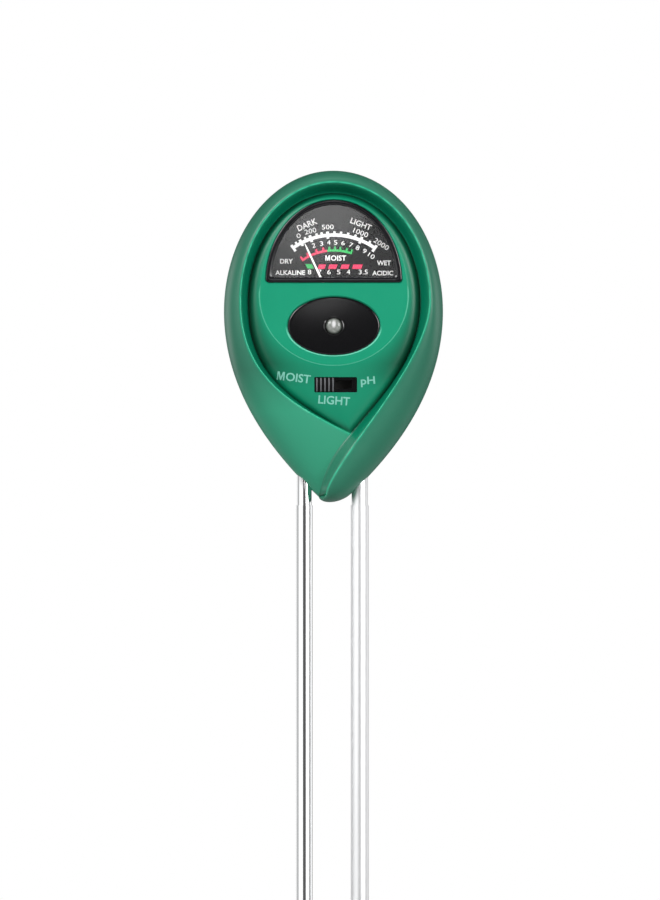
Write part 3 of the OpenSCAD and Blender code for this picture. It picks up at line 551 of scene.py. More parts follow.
def noise(tree, place, size, detail=2.0):
    """Noise with features of about the given size in millimetres."""
    return add(tree, "ShaderNodeTexNoise", values={"Scale": 1 / (size * MM), "Detail": detail},
               links={"Vector": place}).outputs["Fac"]


def stored(tree, name):
    """The value that the mesh keeps for each point under a name."""
    return add(tree, "ShaderNodeAttribute", {"attribute_name": name}).outputs["Fac"]


def mixed(tree, factor, first, second):
    """A colour between two, each a hex code or a socket that carries a colour."""
    node = add(tree, "ShaderNodeMix", {"data_type": "RGBA"}, links={"Factor": factor})
    for key, value in (("A", first), ("B", second)):
        socket = next(s for s in node.inputs if s.name == key and s.enabled)
        if isinstance(value, str):
            socket.default_value = (*hex_to_linear(value), 1)
        else:
            tree.links.new(value, socket)
    return next(s for s in node.outputs if s.enabled)


def varied(tree, base, place, dark, light, size, rough, grain, bump, distance=0.02):
    """Feeds a shader: colour mottled between two hexes, roughness and a fine bump. Sizes
    are millimetres. Gives back the colour."""
    mottle = noise(tree, place, size, 3.0)
    colour = mixed(tree, mottle, dark, light)
    lump = add(tree, "ShaderNodeBump", values={"Strength": bump, "Distance": distance * MM},
               links={"Height": noise(tree, place, grain, 4.0)})
    tree.links.new(colour, base.inputs["Base Color"])
    tree.links.new(ranged(tree, mottle, 0, 1, *rough), base.inputs["Roughness"])
    tree.links.new(lump.outputs["Normal"], base.inputs["Normal"])
    return colour


def plain(name, shader, *look):
    """A material that is only mottled, as varied does it."""
    mat, tree, base, place = start_material(name, shader)
    varied(tree, base, place, *look)
    return mat


ABS = {"IOR": 1.46}
# ABS from a fine-blasted mould, a satin with soft broad reflections: mottle size,
# roughness, grain size and bump
BLASTED = (9, (0.34, 0.4), 0.22, 0.1)
RIDGE_SHADE = 0.8  # stored shades above this one are the painted highlight along the ridge
# Painted highlights, thin bright lines along the oval plate's seat and the island's step:
# where on the oval and how wide, and the heights over its centre between which each fades in
SEAT_HIGHLIGHT = (1.03, 0.02, (0, -2.5))
STEP_HIGHLIGHT = (0.992, 0.007, (3, 1))


def green_front():
    """Green ABS with painted light and shade from the stored shade: the groove painted dark,
    a painted highlight along the ridge, and the rim painted greyer as a painted reflection."""
    mat, tree, base, place = start_material("green_moulded_abs_front", ABS)
    speckle = varied(tree, base, place, "#039570", "#079d76", *BLASTED)
    shade, rim = stored(tree, "shade"), stored(tree, "rim")
    # painted shade: low stored shades darken the green towards #003d28 in the groove
    low = ranged(tree, shade, 0, RIDGE_SHADE)
    deep = mixed(tree, low, "#003d28", speckle)
    # painted reflection: the rim is mixed to a greyer green, as if it mirrored the white room
    dull = mixed(tree, low, "#285a49", "#38a682")
    # painted highlight: the highest stored shades turn the ridge a light green
    colour = mixed(tree, ranged(tree, shade, RIDGE_SHADE, 1), mixed(tree, rim, deep, dull),
                   "#3cc49a")
    half = (PLATE_HIGH - PLATE_LOW)[[0, 2]] / 2
    # painted highlights: pale lines at the oval plate's seat and the island's step
    seat = highlight_line(tree, place, (FACE_X, OVAL_Z), half, *SEAT_HIGHLIGHT)
    step = highlight_line(tree, place, (FACE_X, ISLAND_Z), (ISLAND_W, ISLAND_LOW), *STEP_HIGHLIGHT)
    colour = mixed(tree, seat, colour, "#6fd8b8")
    tree.links.new(mixed(tree, step, colour, "#56c8a4"), base.inputs["Base Color"])
    return mat


def oval_reach(tree, place, centre, half):
    """How far out a place lies on an oval, 1 on its edge, from millimetre sizes."""
    fitted = add(tree, "ShaderNodeMapping", values={
        "Scale": (1 / (half[0] * MM), 0, 1 / (half[1] * MM)),
        "Location": (-centre[0] / half[0], 0, -centre[1] / half[1])}, links={"Vector": place})
    return add(tree, "ShaderNodeVectorMath", {"operation": "LENGTH"},
               links={0: fitted.outputs[0]}).outputs["Value"]


def highlight_line(tree, place, centre, half, where, width, rise):
    """A mask for a thin painted highlight round an oval, fading in as the place sinks from the
    first height over the centre to the second."""
    near = calc(tree, "COMPARE", oval_reach(tree, place, centre, half), where, width)
    split = add(tree, "ShaderNodeSeparateXYZ", links={0: place})
    low = ranged(tree, split.outputs["Z"], *((centre[1] + z) * MM for z in rise))
    return calc(tree, "MULTIPLY", near, low)


def black_rib_highlights():
    """Black styrene with a painted highlight: grey lines along the tops of the ribs."""
    mat, tree, base, place = start_material("black_styrene_painted_rib_highlights", {
        "IOR": 1.5, "Specular IOR Level": 0.3})
    black = varied(tree, base, place, "#08080a", "#0d0d10", 3, (0.3, 0.38), 0.2, 0.05)
    tree.links.new(mixed(tree, stored(tree, "rib_highlight"), black, "#7c7e82"),
                   base.inputs["Base Color"])
    return mat


def clear_cover():
    """Clear polystyrene: you look through it, and it reflects the room a little."""
    mat, tree, base, place = start_material("clear_polystyrene", {
        "IOR": 1.5, "Roughness": 0.05, "Transmission Weight": 1.0})
    tree.links.new(mixed(tree, noise(tree, place, 14), "#fcfdfe", "#ffffff"),
                   base.inputs["Base Color"])
    ray = add(tree, "ShaderNodeLightPath")
    clear = add(tree, "ShaderNodeBsdfTransparent")
    show(tree, add(tree, "ShaderNodeMixShader", links={
        0: ray.outputs["Is Shadow Ray"], 1: base.outputs[0], 2: clear.outputs[0]}))
    return mat


def clear_dome():
    """Clear acrylic over the light cell: a painted reflection, a bright upright strip, stands in
    its middle, the edge is painted dark as shade, and small facets sparkle."""
    mat, tree, base, place = start_material("clear_acrylic", {
        "IOR": 1.49, "Transmission Weight": 0.25})
    body = varied(tree, base, place, "#565a54", "#c8ccc6", 0.7, (0.03, 0.1), 0.5, 0.3, 0.05)
    # painted reflection: a white upright strip just above the middle
    strip = oval_reach(tree, place, (FACE_X, OVAL_Z + 0.55), (0.75, 1.25))
    rim = oval_reach(tree, place, (FACE_X, OVAL_Z), (LENS_R, LENS_R))
    lit = mixed(tree, ranged(tree, strip, 1.15, 0.35, easing="SMOOTHSTEP"), body, "#ffffff")
    # painted shade: darker towards the dome's edge
    dark = ranged(tree, rim, 0.7, 1.0, easing="SMOOTHSTEP")
    tree.links.new(mixed(tree, dark, lit, "#4a4d48"), base.inputs["Base Color"])
    return mat


def painted(name, dark, light, rough=(0.5, 0.6), shine=0.5):
    """Flat screen-printing ink or spray paint: even colour with a faint tooth."""
    return plain(name, {"Specular IOR Level": shine}, dark, light, 2, rough, 0.15, 0.08)


def bright_metal(name, dark, light, rough, length=6.0, bump=0.06):
    """Drawn metal: mirror-bright with faint scratches along its length."""
    mat, tree, base, place = start_material(name, {"Metallic": 1.0})
    stretch = add(tree, "ShaderNodeMapping", values={"Scale": (1, 1, 1 / length)},
                  links={"Vector": place})
    varied(tree, base, stretch.outputs["Vector"], dark, light, 0.8, rough, 0.25, bump, 0.01)
    return mat


# Each material by its short name: the function that makes it and what it is given
RECIPES = {
    "green_front": (green_front,),
    "green_rear": (plain, "green_moulded_abs", ABS, "#2b765d", "#307c63", *BLASTED),
    # polished black polystyrene: deep black with clear reflections
    "gloss_black": (plain, "polished_black_styrene", {"IOR": 1.59}, "#0c0c10", "#111116",
                    6, (0.14, 0.2), 0.5, 0.03),
    # black styrene rubbed to a soft sheen
    "satin_black": (plain, "satin_black_styrene", {"IOR": 1.59}, "#060608", "#09090c",
                    4, (0.13, 0.16), 0.3, 0.02),
    # black ABS from a spark-eroded mould: a fine dull grain
    "matt_black": (plain, "grained_black_abs", {"IOR": 1.53, "Specular IOR Level": 0.25},
                   "#0d0d0f", "#17171a", 3, (0.42, 0.55), 0.12, 0.35),
    "black_rib_highlights": (black_rib_highlights,),
    "clear_cover": (clear_cover,),
    "clear_dome": (clear_dome,),
    "dial_black": (painted, "dial_lacquer", "#050507", "#08080b", (0.5, 0.6), 0.1),
    "ink_white": (painted, "white_printing_ink", "#e8e8e6", "#f6f6f4"),
    "ink_red": (painted, "red_printing_ink", "#d41f4c", "#e0285a"),
    "ink_green": (painted, "green_printing_ink", "#12a04a", "#1cb256"),
    "ink_teal": (painted, "pale_teal_printing_ink", "#78c2b0", "#84ccba"),
    "needle_paint": (painted, "white_needle_paint", "#f0f0ee", "#fafaf8"),
    "cell": (painted, "light_cell_ceramic", "#8c7a4c", "#a8986a"),
    "nylon": (painted, "natural_nylon", "#d2ccb8", "#e0dbca"),
    "phenolic": (painted, "black_phenolic_board", "#141210", "#1d1a17"),
    "red_pvc": (painted, "red_pvc_insulation", "#a81d18", "#bc2a22", (0.35, 0.45)),
    "black_pvc": (painted, "black_pvc_insulation", "#121214", "#1a1a1c", (0.35, 0.45)),
    "board": (painted, "green_solder_mask", "#14572c", "#1c6a38", (0.25, 0.35)),
    "probe_polished": (bright_metal, "polished_nickel", "#f4f5f6", "#fafbfc", (0.09, 0.11),
                       6.0, 0.0),
    "probe_satin": (bright_metal, "satin_nickel", "#f6f7f8", "#fcfcfd", (0.42, 0.46), 6.0,
                    0.02),
    "steel": (bright_metal, "zinc_plated_steel", "#9fa2a6", "#b6b9bc", (0.25, 0.35), 1.0),
    "copper": (bright_metal, "enamelled_copper_wire", "#a4562a", "#b8683a", (0.25, 0.35)),
    "bronze": (bright_metal, "phosphor_bronze_strip", "#b07c3c", "#c08c48", (0.2, 0.3)),
    "brass": (bright_metal, "stamped_brass", "#b2924c", "#c4a45c", (0.25, 0.35), 1.0),
    "iron": (bright_metal, "soft_iron", "#4c4e52", "#5e6064", (0.4, 0.5), 1.0),
    "magnet": (bright_metal, "ground_magnet_alloy", "#66686c", "#76787c", (0.3, 0.4), 1.0),
    "aluminium": (bright_metal, "plain_aluminium", "#b4b6ba", "#c4c6ca", (0.25, 0.35)),
}
MATERIALS = {}


def material(name):
    """Makes each material once and hands it out by name."""
    if name not in MATERIALS:
        maker, *values = RECIPES[name]
        MATERIALS[name] = maker(*values)
    return MATERIALS[name]


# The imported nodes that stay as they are, each with the material it is given
KEPT_NODES = {
    "dial_screws": "steel", "meter_housing": "matt_black", "needle_spindle": "steel",
    "coil_former": "aluminium", "coil_winding": "copper", "front_hairspring": "bronze",
    "rear_hairspring": "bronze", "core_magnet": "magnet", "iron_ring": "iron",
    "front_bridge": "brass", "rear_bridge": "brass", "bearing_screws": "brass",
    "light_cell": "cell", "switch_slider": "nylon", "switch_housing": "satin_black",
    "switch_base": "phenolic", "circuit_board": "board", "board_screws": "steel",
    "left_collar": "matt_black", "right_collar": "matt_black", "probe_clips": "brass",
    "red_leads": "red_pvc", "black_leads": "black_pvc", "case_screws": "steel",
}


# ---------------------------------------------------------------- pieces
# The island's edge: shares of the way out from its centre, and how far each lies back
ISLAND_EDGE = ((0.994, 0.21), (0.989, 0.05), (0.984, 0.005), (0.978, 0), (0.6, 0))
# Painted shade: how light the slope is painted at shares of the way from the island (0)
# to the groove (1), beside the island and below it
SLOPE_BESIDE = ((-0.03, 0.8), (0.02, 0.66), (0.25, 0.48), (0.5, 0.3), (0.75, 0.14),
                (1.0, 0.0), (1.03, 0.5))
SLOPE_BELOW = ((-0.03, 0.8), (0.02, 0.66), (0.5, 0.62), (0.9, 0.58), (1.0, 0.1), (1.03, 0.5))
SLOPE_MEET, SLOPE_BLEND = 40, 7  # below this height, over this depth, the one gives way
LEAF_TOP, LEAF_BLEND = 38, 12
LEAF_SHADE, LEAF_LEFT, LEAF_RIGHT = 0.26, 0.45, 0.06  # painted shade on the rim, and painted light added low on each leaf, most on the left
RIM_BLEND = 0.6
# The painted highlight along the crest: how near it, over what width it fades, and in front of
# which depth it shows
RIDGE_REACH, RIDGE_BLEND, RIDGE_FRONT = 0.6, 0.5, -3


def dense(count):
    """Stations round the head, count to each whole station."""
    return np.linspace(0, U_END, U_END * count + 1)


def front_skin():
    """The front moulding's rim, face and island as one closed surface with a flat back."""
    u = dense(RIM_STEPS)
    r = np.concatenate([np.linspace(0, R_CREST, R_CREST * RIM_STEPS + 1),
                        np.linspace(R_CREST, R_FOOT, FACE_STEPS)[1:]])
    rim = rim_surface(*np.meshgrid(u, r, indexing="ij"))
    ring = u[u >= U_FOLD]
    w, v = np.meshgrid(np.linspace(0, 1, FACE_STEPS)[1:], ring, indexing="ij")
    centre = np.array([FACE_X, ISLAND_Z])
    step = [lift(mix(centre, island_point(foot(ring)), share), drop - FACE_DEPTH)
            for share, drop in ISLAND_EDGE]
    rings = np.concatenate([face_surface(v, w), np.array(step)])
    n, m = rim.shape[:2]
    start, count = n * m, len(ring)
    rim_ids = np.arange(start).reshape(n, m)
    face_ids = np.vstack([rim_ids[u >= U_FOLD, -1],
                          start + np.arange(len(rings) * count).reshape(-1, count)])
    hub = start + len(rings) * count
    last, edge = face_ids[-1], rim_ids[:, 0]
    cap = np.stack([last[:-1], np.full(count - 1, hub), last[1:]], -1)
    back = np.stack([edge[:-1], edge[1:], np.full(n - 1, hub + 1)], -1)
    points = np.vstack([rim.reshape(-1, 3), rings.reshape(-1, 3),
                        [[FACE_X, -FACE_DEPTH, ISLAND_Z], [FACE_X, 0, ISLAND_Z - 12]]])
    faces = [face for part in (grid_quads(rim_ids), grid_quads(face_ids, True), cap, back)
             for face in part.tolist()]
    return tidy_mesh(new_mesh("front_shell_skin", points, faces))


def posts(places, *profile):
    """The same turned shape, along Y, at each of the places."""
    return [revolve("post", profile, (x, 0, z)) for x, z in places]


def make_front_shell():
    """The front moulding, hollow behind, with bosses for the screws and collar ribs."""
    shell = front_skin()
    v = dense(HOLLOW_STEPS)[:-1]
    far = cavity(v, WALL + 3)
    hollow = ring_solid("hollow", [
        lift(cavity(v, WALL + 0.2), 1), lift(cavity(v, WALL + 0.2), 0),
        lift(cavity(v, WALL + 0.7), -0.7 * CEILING), lift(far, -CEILING),
        lift(island_point(far, 0.9), -CEILING), lift(island_point(far, 0.88), WALL - FACE_DEPTH)])
    case, board = screw_places(), board_places()
    board_y = node_box("circuit_board")[0][1]
    cut(hollow, [
        *posts(case, (CASE_BOSS_R, -CEILING - 4), (CASE_BOSS_R, -0.1)),
        *posts(board, (BOARD_BOSS_R, -CEILING - 1), (BOARD_BOSS_R, board_y - 0.1)),
        *collar_ribs(-CEILING - 1, -0.1)])
    cut(shell, [
        hollow, *posts(case, (CASE_PILOT_R, SCREW_SEAT - PILOT_L), (CASE_PILOT_R, 1)),
        *posts(board, (BOARD_PILOT_R, -CEILING + 0.3), (BOARD_PILOT_R, 0)),
        *front_cutters(), *probe_cutters()])
    return shade_recess(tidy_mesh(shell, sharp=32))


def screw_places():
    """Where the three case screws stand."""
    low, high = node_box("case_screws")
    return ((low[0] + CASE_SCREW_R, WIDE_Z - 9), (high[0] - CASE_SCREW_R, WIDE_Z - 9),
            (-0.8, 15.5))


def board_places():
    """Where the circuit board's two screws stand."""
    low, high = node_box("board_screws")
    z = (low[2] + high[2]) / 2
    return (low[0] + BOARD_SCREW_R, z), (high[0] - BOARD_SCREW_R, z)


def reach_round(centre, line):
    """The directions of a line's points from a centre, in order, and their distances."""
    d = line - centre
    a = np.arctan2(d[:, 1], d[:, 0])
    order = np.argsort(a)
    return a[order], np.hypot(*d.T)[order]


def store(obj, name, values):
    """Keeps a value for each point of a mesh, for its material to read."""
    layer = obj.data.attributes.new(name, "FLOAT", "POINT")
    layer.data.foreach_set("value", values.astype(np.float32))


def mesh_points(mesh):
    """A mesh's points as it keeps them."""
    co = np.empty(len(mesh.vertices) * 3)
    mesh.vertices.foreach_get("co", co)
    return co.reshape(-1, 3)


def shade_recess(shell):
    """Stores painted light and shade for each point of the moulding: most on the island, less
    down the slope round it, least in the groove, a painted highlight along the crest; and
    which points belong to the rim."""
    points = mesh_points(shell.data) / MM
    flat, z = points[:, [0, 2]], points[:, 2]
    centre = np.array([FACE_X, ISLAND_Z])
    ring = np.linspace(U_FOLD, U_END, 400)
    d = flat - centre
    here, far = np.arctan2(d[:, 1], d[:, 0]), np.hypot(*d.T)
    groove, top = (np.interp(here, *reach_round(centre, line(ring)), period=2 * np.pi)
                   for line in (foot, crest))
    island = np.hypot(*(island_point(flat) - centre).T)
    way = (far - island) / (groove - island)
    lip = bezier(LIP, np.linspace(0, 1, 30))
    left = flat[:, 0] < np.interp(z, lip[:, 1], lip[:, 0])
    # painted light and shade on the rim: darker overall, lighter low on the left leaf as if lit
    # from the left
    leaf = LEAF_SHADE + np.clip((LEAF_TOP - z) / LEAF_BLEND, 0, 1) * np.where(
        left, LEAF_LEFT, LEAF_RIGHT)
    # painted shade: darker down the slope towards the groove, less so below the island
    shade = mix(np.interp(way, *zip(*SLOPE_BESIDE)), np.interp(way, *zip(*SLOPE_BELOW)),
                np.clip((SLOPE_MEET - z) / SLOPE_BLEND, 0, 1))
    # where the rim's painted shade and painted greyish reflection take over from the slope
    rim = np.clip((far - top) / RIM_BLEND, 0, 1)
    # painted highlight: a bright line along the crest
    ridge = crest(np.linspace(0, U_END, 700))
    off = np.array([np.hypot(*(ridge - point).T).min() for point in flat])
    bright = np.clip((RIDGE_REACH - off) / RIDGE_BLEND, 0, 1) * (points[:, 1] < RIDGE_FRONT)
    store(shell, "shade", np.maximum(mix(shade, leaf, rim), bright))
    store(shell, "rim", rim)
    return shell


def front_cutters():
    """What is cut through the front: dial, oval seat, lens hole and switch slot."""
    front, chamfer, play = -FACE_DEPTH, 0.22, 0.03
    dial = ring_solid("dial_cut", layers(d_outline, (
        (1.2, front - 1), (play + chamfer, front), (play, front + chamfer), (play, 4))))
    oval = ring_solid("oval_cut", layers(oval_outline, (
        (FIT + 1.3, front - 1), (FIT + 0.3, front), (FIT, front + 0.3), (FIT, front + 0.8))))
    lens = revolve("lens_cut", [(LENS_HOLE_R, front - 1), (LENS_HOLE_R, 0.5)],
                   (FACE_X, 0, OVAL_Z))
    slot = box_solid("slot_cut", (SLOT_X - SLOT_L / 2, front - 2, SLOT_Z - SLOT_H / 2),
                     (SLOT_X + SLOT_L / 2, 0.5, SLOT_Z + SLOT_H / 2), 0.35)
    pocket = box_solid("pocket_cut", (SLOT_X - 8.2, -SHELF - 2.2, SLOT_Z - 3.6),
                       (SLOT_X + 8.2, 1, SLOT_Z + 3.8), 0.4)
    return dial, oval, lens, slot, pocket


def probe_cutters():
    """Round holes for the probes, which run in the parting plane."""
    made = []
    for name, (low, high) in PROBES.items():
        radius = (high[0] - low[0]) / 2 - NECK_STEP + 0.08
        made.append(revolve(name + "_cut", [(radius, NECK_Z), (radius, high[2])],
                            ((low[0] + high[0]) / 2, 0, 0), axis="z"))
    return made


def collar_ribs(y0, y1):
    """The ribs below and above each probe's collar, which keep it in its place."""
    made = []
    for side, (low, high) in PROBES.items():
        collar_low, collar_high = node_box(side.replace("probe", "collar"))
        for z in (collar_low[2] - 0.1 - RIB_T, collar_high[2] + 0.1):
            made.append(box_solid("rib", (low[0] - RIB_REACH, y0, z),
                                  (high[0] + RIB_REACH, y1, z + RIB_T), 0.05))
    return made


def make_rear_shell():
    """The rear moulding: the outline carried back to a level back, hollow inside, with
    three recessed screw holes."""
    u, v = dense(RIM_STEPS)[:-1], dense(HOLLOW_STEPS)[:-1]
    shell = ring_solid("rear_shell_skin", [rear_ring(outline(u), REAR_DEPTH, a)
                                           for a in np.radians(np.linspace(0, 90, 41))])
    inner = cavity(v, WALL + 0.2)
    hollow = ring_solid("hollow", [lift(inner, -1)] + [
        rear_ring(inner, REAR_DEPTH - WALL, a) for a in np.radians(np.linspace(0, 90, 21))])
    places = screw_places()
    cut(hollow, posts(places, (REAR_BOSS_R, 0.1), (REAR_BOSS_R, REAR_DEPTH + 4))
        + collar_ribs(0.1, REAR_DEPTH - 0.5))
    holes = posts(places, (SCREW_HOLE_R, -1), (SCREW_HOLE_R, SCREW_SEAT),
                  (SCREW_HEAD_R, SCREW_SEAT), (SCREW_HEAD_R, REAR_DEPTH - 0.3),
                  (SCREW_HEAD_R, REAR_DEPTH + 1))
    cut(shell, [hollow] + holes + probe_cutters())
    return tidy_mesh(shell, sharp=32)


def make_bezel():
    """The dial's frame: a rounded section carried round the D."""
    front, back, glass = BEZEL_LOW[1], BEZEL_HIGH[1], WINDOW_LOW[1] - 0.1
    section = ((0, back), (0, front + 0.3), (-0.09, front + 0.09), (-0.3, front),
               (-0.9, front + 0.03), (-1.35, front + 0.12), (-1.55, front + 0.3),
               (-1.6, glass), (-0.9, glass), (-0.9, back))
    return ring_solid("dial_bezel", layers(d_outline, section), closed=True, sharp=40)


def make_window():
    """The clear cover: a flat D plate with a rounded front edge."""
    front, back, edge = WINDOW_LOW[1], WINDOW_HIGH[1], 0.15
    section = [(-1.1, back), (-1.0, back - 0.1)]
    section += [(edge * math.cos(a) - 1.15, front + edge - edge * math.sin(a))
                for a in np.radians(np.linspace(0, 90, 5))]
    return ring_solid("dial_window", layers(d_outline, section))


def make_sensor_plate():
    """The oval plate: gently crowned, with a rounded edge and a ring round the lens."""
    front, back, crown = PLATE_LOW[1], PLATE_HIGH[1], 0.14
    centre = np.array([FACE_X, OVAL_Z])
    rings = layers(oval_outline, ((0, back), (0, front + 0.35), (-0.1, front + 0.22),
                                  (-0.35, front + crown)))
    rings += [lift(mix(centre, oval_outline(0), share), front + crown * share ** 2)
              for share in np.linspace(0.93, 0.25, 16)]
    a = np.linspace(0, 2 * np.pi, OVAL_STEPS, endpoint=False)
    circle = np.stack([np.cos(a), np.sin(a)], -1)
    rings += [lift(centre + r * circle, y) for r, y in (
        (2.75, front - 0.02), (2.6, front - 0.14), (2.45, front - 0.1), (2.4, front + 0.1),
        (2.4, back))]
    return ring_solid("sensor_plate_skin", rings[::-1], closed=True, sharp=40)


def make_lens():
    """The clear dome: a stem with a flange behind, rounded over in front."""
    back, front = LENS_HIGH[1], LENS_LOW[1]
    profile = [(LENS_R * math.sin(a), front + LENS_RISE - LENS_RISE * math.cos(a))
               for a in np.radians(np.linspace(8, 90, 14))]
    profile += [(LENS_R, back - 0.65), (LENS_FLANGE_R, back - 0.6), (LENS_FLANGE_R, back)]
    return revolve("sensor_dome", profile, (FACE_X, 0, OVAL_Z))


def make_knob():
    """The slider: a block with rounded upright ribs across its front."""
    low, high = KNOB_LOW, KNOB_HIGH
    front, back = low[1], -SHELF - 2.3
    pitch = (high[0] - low[0]) / KNOB_RIBS

    def off_rib(x):
        return np.abs((x - low[0]) % pitch - pitch / 2)

    x = np.linspace(low[0], high[0], 161)
    depth = front + KNOB_RIB_R - np.sqrt(np.clip(KNOB_RIB_R ** 2 - off_rib(x) ** 2, 0, None))
    rows = ((low[2], 0.35), (low[2] + 0.1, 0.12), (low[2] + 0.3, 0.0),
            (high[2] - 0.3, 0.0), (high[2] - 0.1, 0.12), (high[2], 0.35))
    rings = [np.concatenate([
        np.column_stack([x, depth + drop, np.full_like(x, z)]),
        np.column_stack([x[::-1], np.full_like(x, back), np.full_like(x, z)])])
        for z, drop in rows]
    knob = ring_solid("slider_knob", rings, sharp=45)
    co = mesh_points(knob.data) / MM
    # painted highlight: grey along each rib's top, stored for the material
    store(knob, "rib_highlight", np.clip(1.2 - off_rib(co[:, 0]) / 0.16, 0, 1) * (co[:, 1] < front + 0.3))
    return knob


def make_probe(name):
    """A straight rod with a blunt ground point below, and a neck and a chamfer above."""
    low, high = PROBES[name]
    r, start = (high[0] - low[0]) / 2, low[2] + 0.3
    neck = r - NECK_STEP
    profile = [(0.15, low[2]), (0.4, low[2] + 0.05), (POINT_R, start)]
    profile += [(mix(POINT_R, r, math.sin(math.pi / 2 * share) ** 0.9),
                 start + (POINT_L - 0.3) * share) for share in np.linspace(0.1, 1, 10)]
    profile += [(r, low[2] + POINT_L + 20), (r, -10), (r, NECK_Z), (neck, NECK_Z),
                (neck, high[2] - 0.4), (neck - 0.4, high[2])]
    return revolve(name + "_rod", profile, ((low[0] + high[0]) / 2, 0, 0), axis="z", sharp=50)


def make_dial():
    """The scale plate: a thin D with rolled edges, seen through the cover."""
    front, back = DIAL_LOW[1], DIAL_HIGH[1]
    return ring_solid("scale_plate", layers(d_outline, (
        (-1.25, front), (-1.15, front + 0.1), (-1.15, back - 0.1), (-1.3, back))))


def turned(points, angle, centre):
    """Turns flat points clockwise by an angle in degrees, from the centre."""
    a = math.radians(angle)
    x, z = points[..., 0], points[..., 1]
    return np.stack([centre[0] + x * math.cos(a) + z * math.sin(a),
                     centre[1] - x * math.sin(a) + z * math.cos(a)], -1)


def make_needle():
    """The pointer: a thin tapered blade with a tail, turned to its reading."""
    y = DIAL_LOW[1] - NEEDLE_GAP
    side = ((0.5, -NEEDLE_TAIL), (0.5, -1.0), (0.34, 0), (0.24, NEEDLE_LONG - 1.6),
            (0.08, NEEDLE_LONG))
    flat = np.array([(-0.5, -NEEDLE_TAIL), *side, *((-x, z) for x, z in side[:0:-1])])
    blade = turned(flat, NEEDLE_LEAN, np.array([FACE_X, PIVOT_Z]))
    return ring_solid("pointer", [lift(blade, y), lift(blade, y + NEEDLE_T)], sharp=20)


# ---------------------------------------------------------------- printing
def slab(name, grid, y, thick=0.02):
    """A thin flat piece from a grid of flat points, its back at depth y."""
    n, m = grid.shape[:2]
    ids = np.arange(n * m).reshape(n, m)
    quads = grid_quads(ids, True)
    loop = np.concatenate([ids[0], ids[1:, -1], ids[-1, -2::-1], ids[-2:0:-1, 0]])
    following = np.roll(loop, -1)
    sides = np.stack([loop, following, following + n * m, loop + n * m], -1)
    points = [lift(grid, depth).reshape(-1, 3) for depth in (y - thick, y)]
    return new_mesh(name, np.vstack(points),
                    np.concatenate([quads, quads[:, ::-1] + n * m, sides[:, ::-1]]))


def arc_patch(r0, r1, a0, a1, y):
    """A band of an arc round the pivot; angles in degrees from upright, right positive."""
    a = np.radians(np.linspace(a0, a1, max(3, int(abs(a1 - a0) / 0.7) + 2)))[:, None]
    r = np.array([r0, r1])
    return slab("band", np.stack([FACE_X + r * np.sin(a), PIVOT_Z + r * np.cos(a)], -1), y)


def marks(angles, half, r0, r1, y):
    """Marks across a scale, each so many degrees to either side of its angle, printed a
    hair in front of the scale's own line."""
    return [arc_patch(r0, r1, a - half, a + half, y - 0.001) for a in angles]


def bar_patch(centre, width, height, y, lean):
    """A printed bar that leans sideways by a share of its height."""
    grid = np.stack(np.meshgrid([-width / 2, width / 2], [-height / 2, height / 2],
                                indexing="ij"), -1)
    grid[..., 0] += lean * grid[..., 1]
    return slab("bar", grid + centre, y)


# The font's M closes up when it is made bold, so this one is drawn, one wide and high
LETTER_M = ((0, 0), (0, 1), (0.27, 1), (0.5, 0.36), (0.73, 1), (1, 1), (1, 0), (0.82, 0),
            (0.82, 0.74), (0.59, 0), (0.41, 0), (0.18, 0.74), (0.18, 0))
M_SHARE, M_GAP = 0.225, 0.04


def glyphs(words, bold):
    """Flat letters in a box one wide and one high, as points and faces."""
    if words[0] == "M":
        points, faces = glyphs(words[1:], bold)
        points[:, 0] = mix(M_SHARE + M_GAP, 1, points[:, 0])
        faces.append([len(points) + k for k in range(len(LETTER_M))])
        return np.vstack([points, np.array(LETTER_M) * (M_SHARE, 1)]), faces
    curve = bpy.data.curves.new("letters", "FONT")
    curve.body = words
    curve.offset = bold
    curve.resolution_u = 3
    obj = bpy.data.objects.new("letters", curve)
    bpy.context.scene.collection.objects.link(obj)
    graph = bpy.context.evaluated_depsgraph_get()
    mesh = bpy.data.meshes.new_from_object(obj.evaluated_get(graph))
    bpy.data.objects.remove(obj, do_unlink=True)
    flat = mesh_points(mesh)[:, :2]
    low, high = flat.min(0), flat.max(0)
    return (flat - low) / (high - low), [list(face.vertices) for face in mesh.polygons]


def flat_text(words, px, py, width, height, angle, bold):
    """Words as a flat mesh, fitted to a width and a height in millimetres, turned and
    placed where a pixel of the photograph shows their middle."""
    points, faces = glyphs(words, bold)
    flat = turned((points - 0.5) * np.array([width, height]), angle, at_photo(px, py))
    return new_mesh("words", lift(flat, 0), faces)


def thicken(obj, y_front, thick):
    """Makes flat print solid: a front at the given depths and a back thick behind it.
    Depth is one number or one for each point."""
    with editing(obj.data, 1e-9) as bm:
        for vert, y in zip(bm.verts, np.broadcast_to(y_front, len(bm.verts))):
            vert.co.y = float(y) * MM
        bmesh.ops.solidify(bm, geom=bm.faces[:], thickness=thick * MM)
        bmesh.ops.recalc_face_normals(bm, faces=bm.faces)
    return obj


def join_pieces(name, pieces):
    """Joins loose pieces into one mesh."""
    for other in bpy.context.selected_objects:
        other.select_set(False)
    for piece in pieces:
        piece.select_set(True)
    bpy.context.view_layer.objects.active = pieces[0]
    bpy.ops.object.join()
    pieces[0].name = name
    pieces[0].data.name = name
    return pieces[0]


def at_photo(x, y):
    """A place on the face from its pixel in the photograph, in millimetres."""
    return np.array([(x - PHOTO_X) * PHOTO_MM, (PHOTO_FOOT - y) * PHOTO_MM])


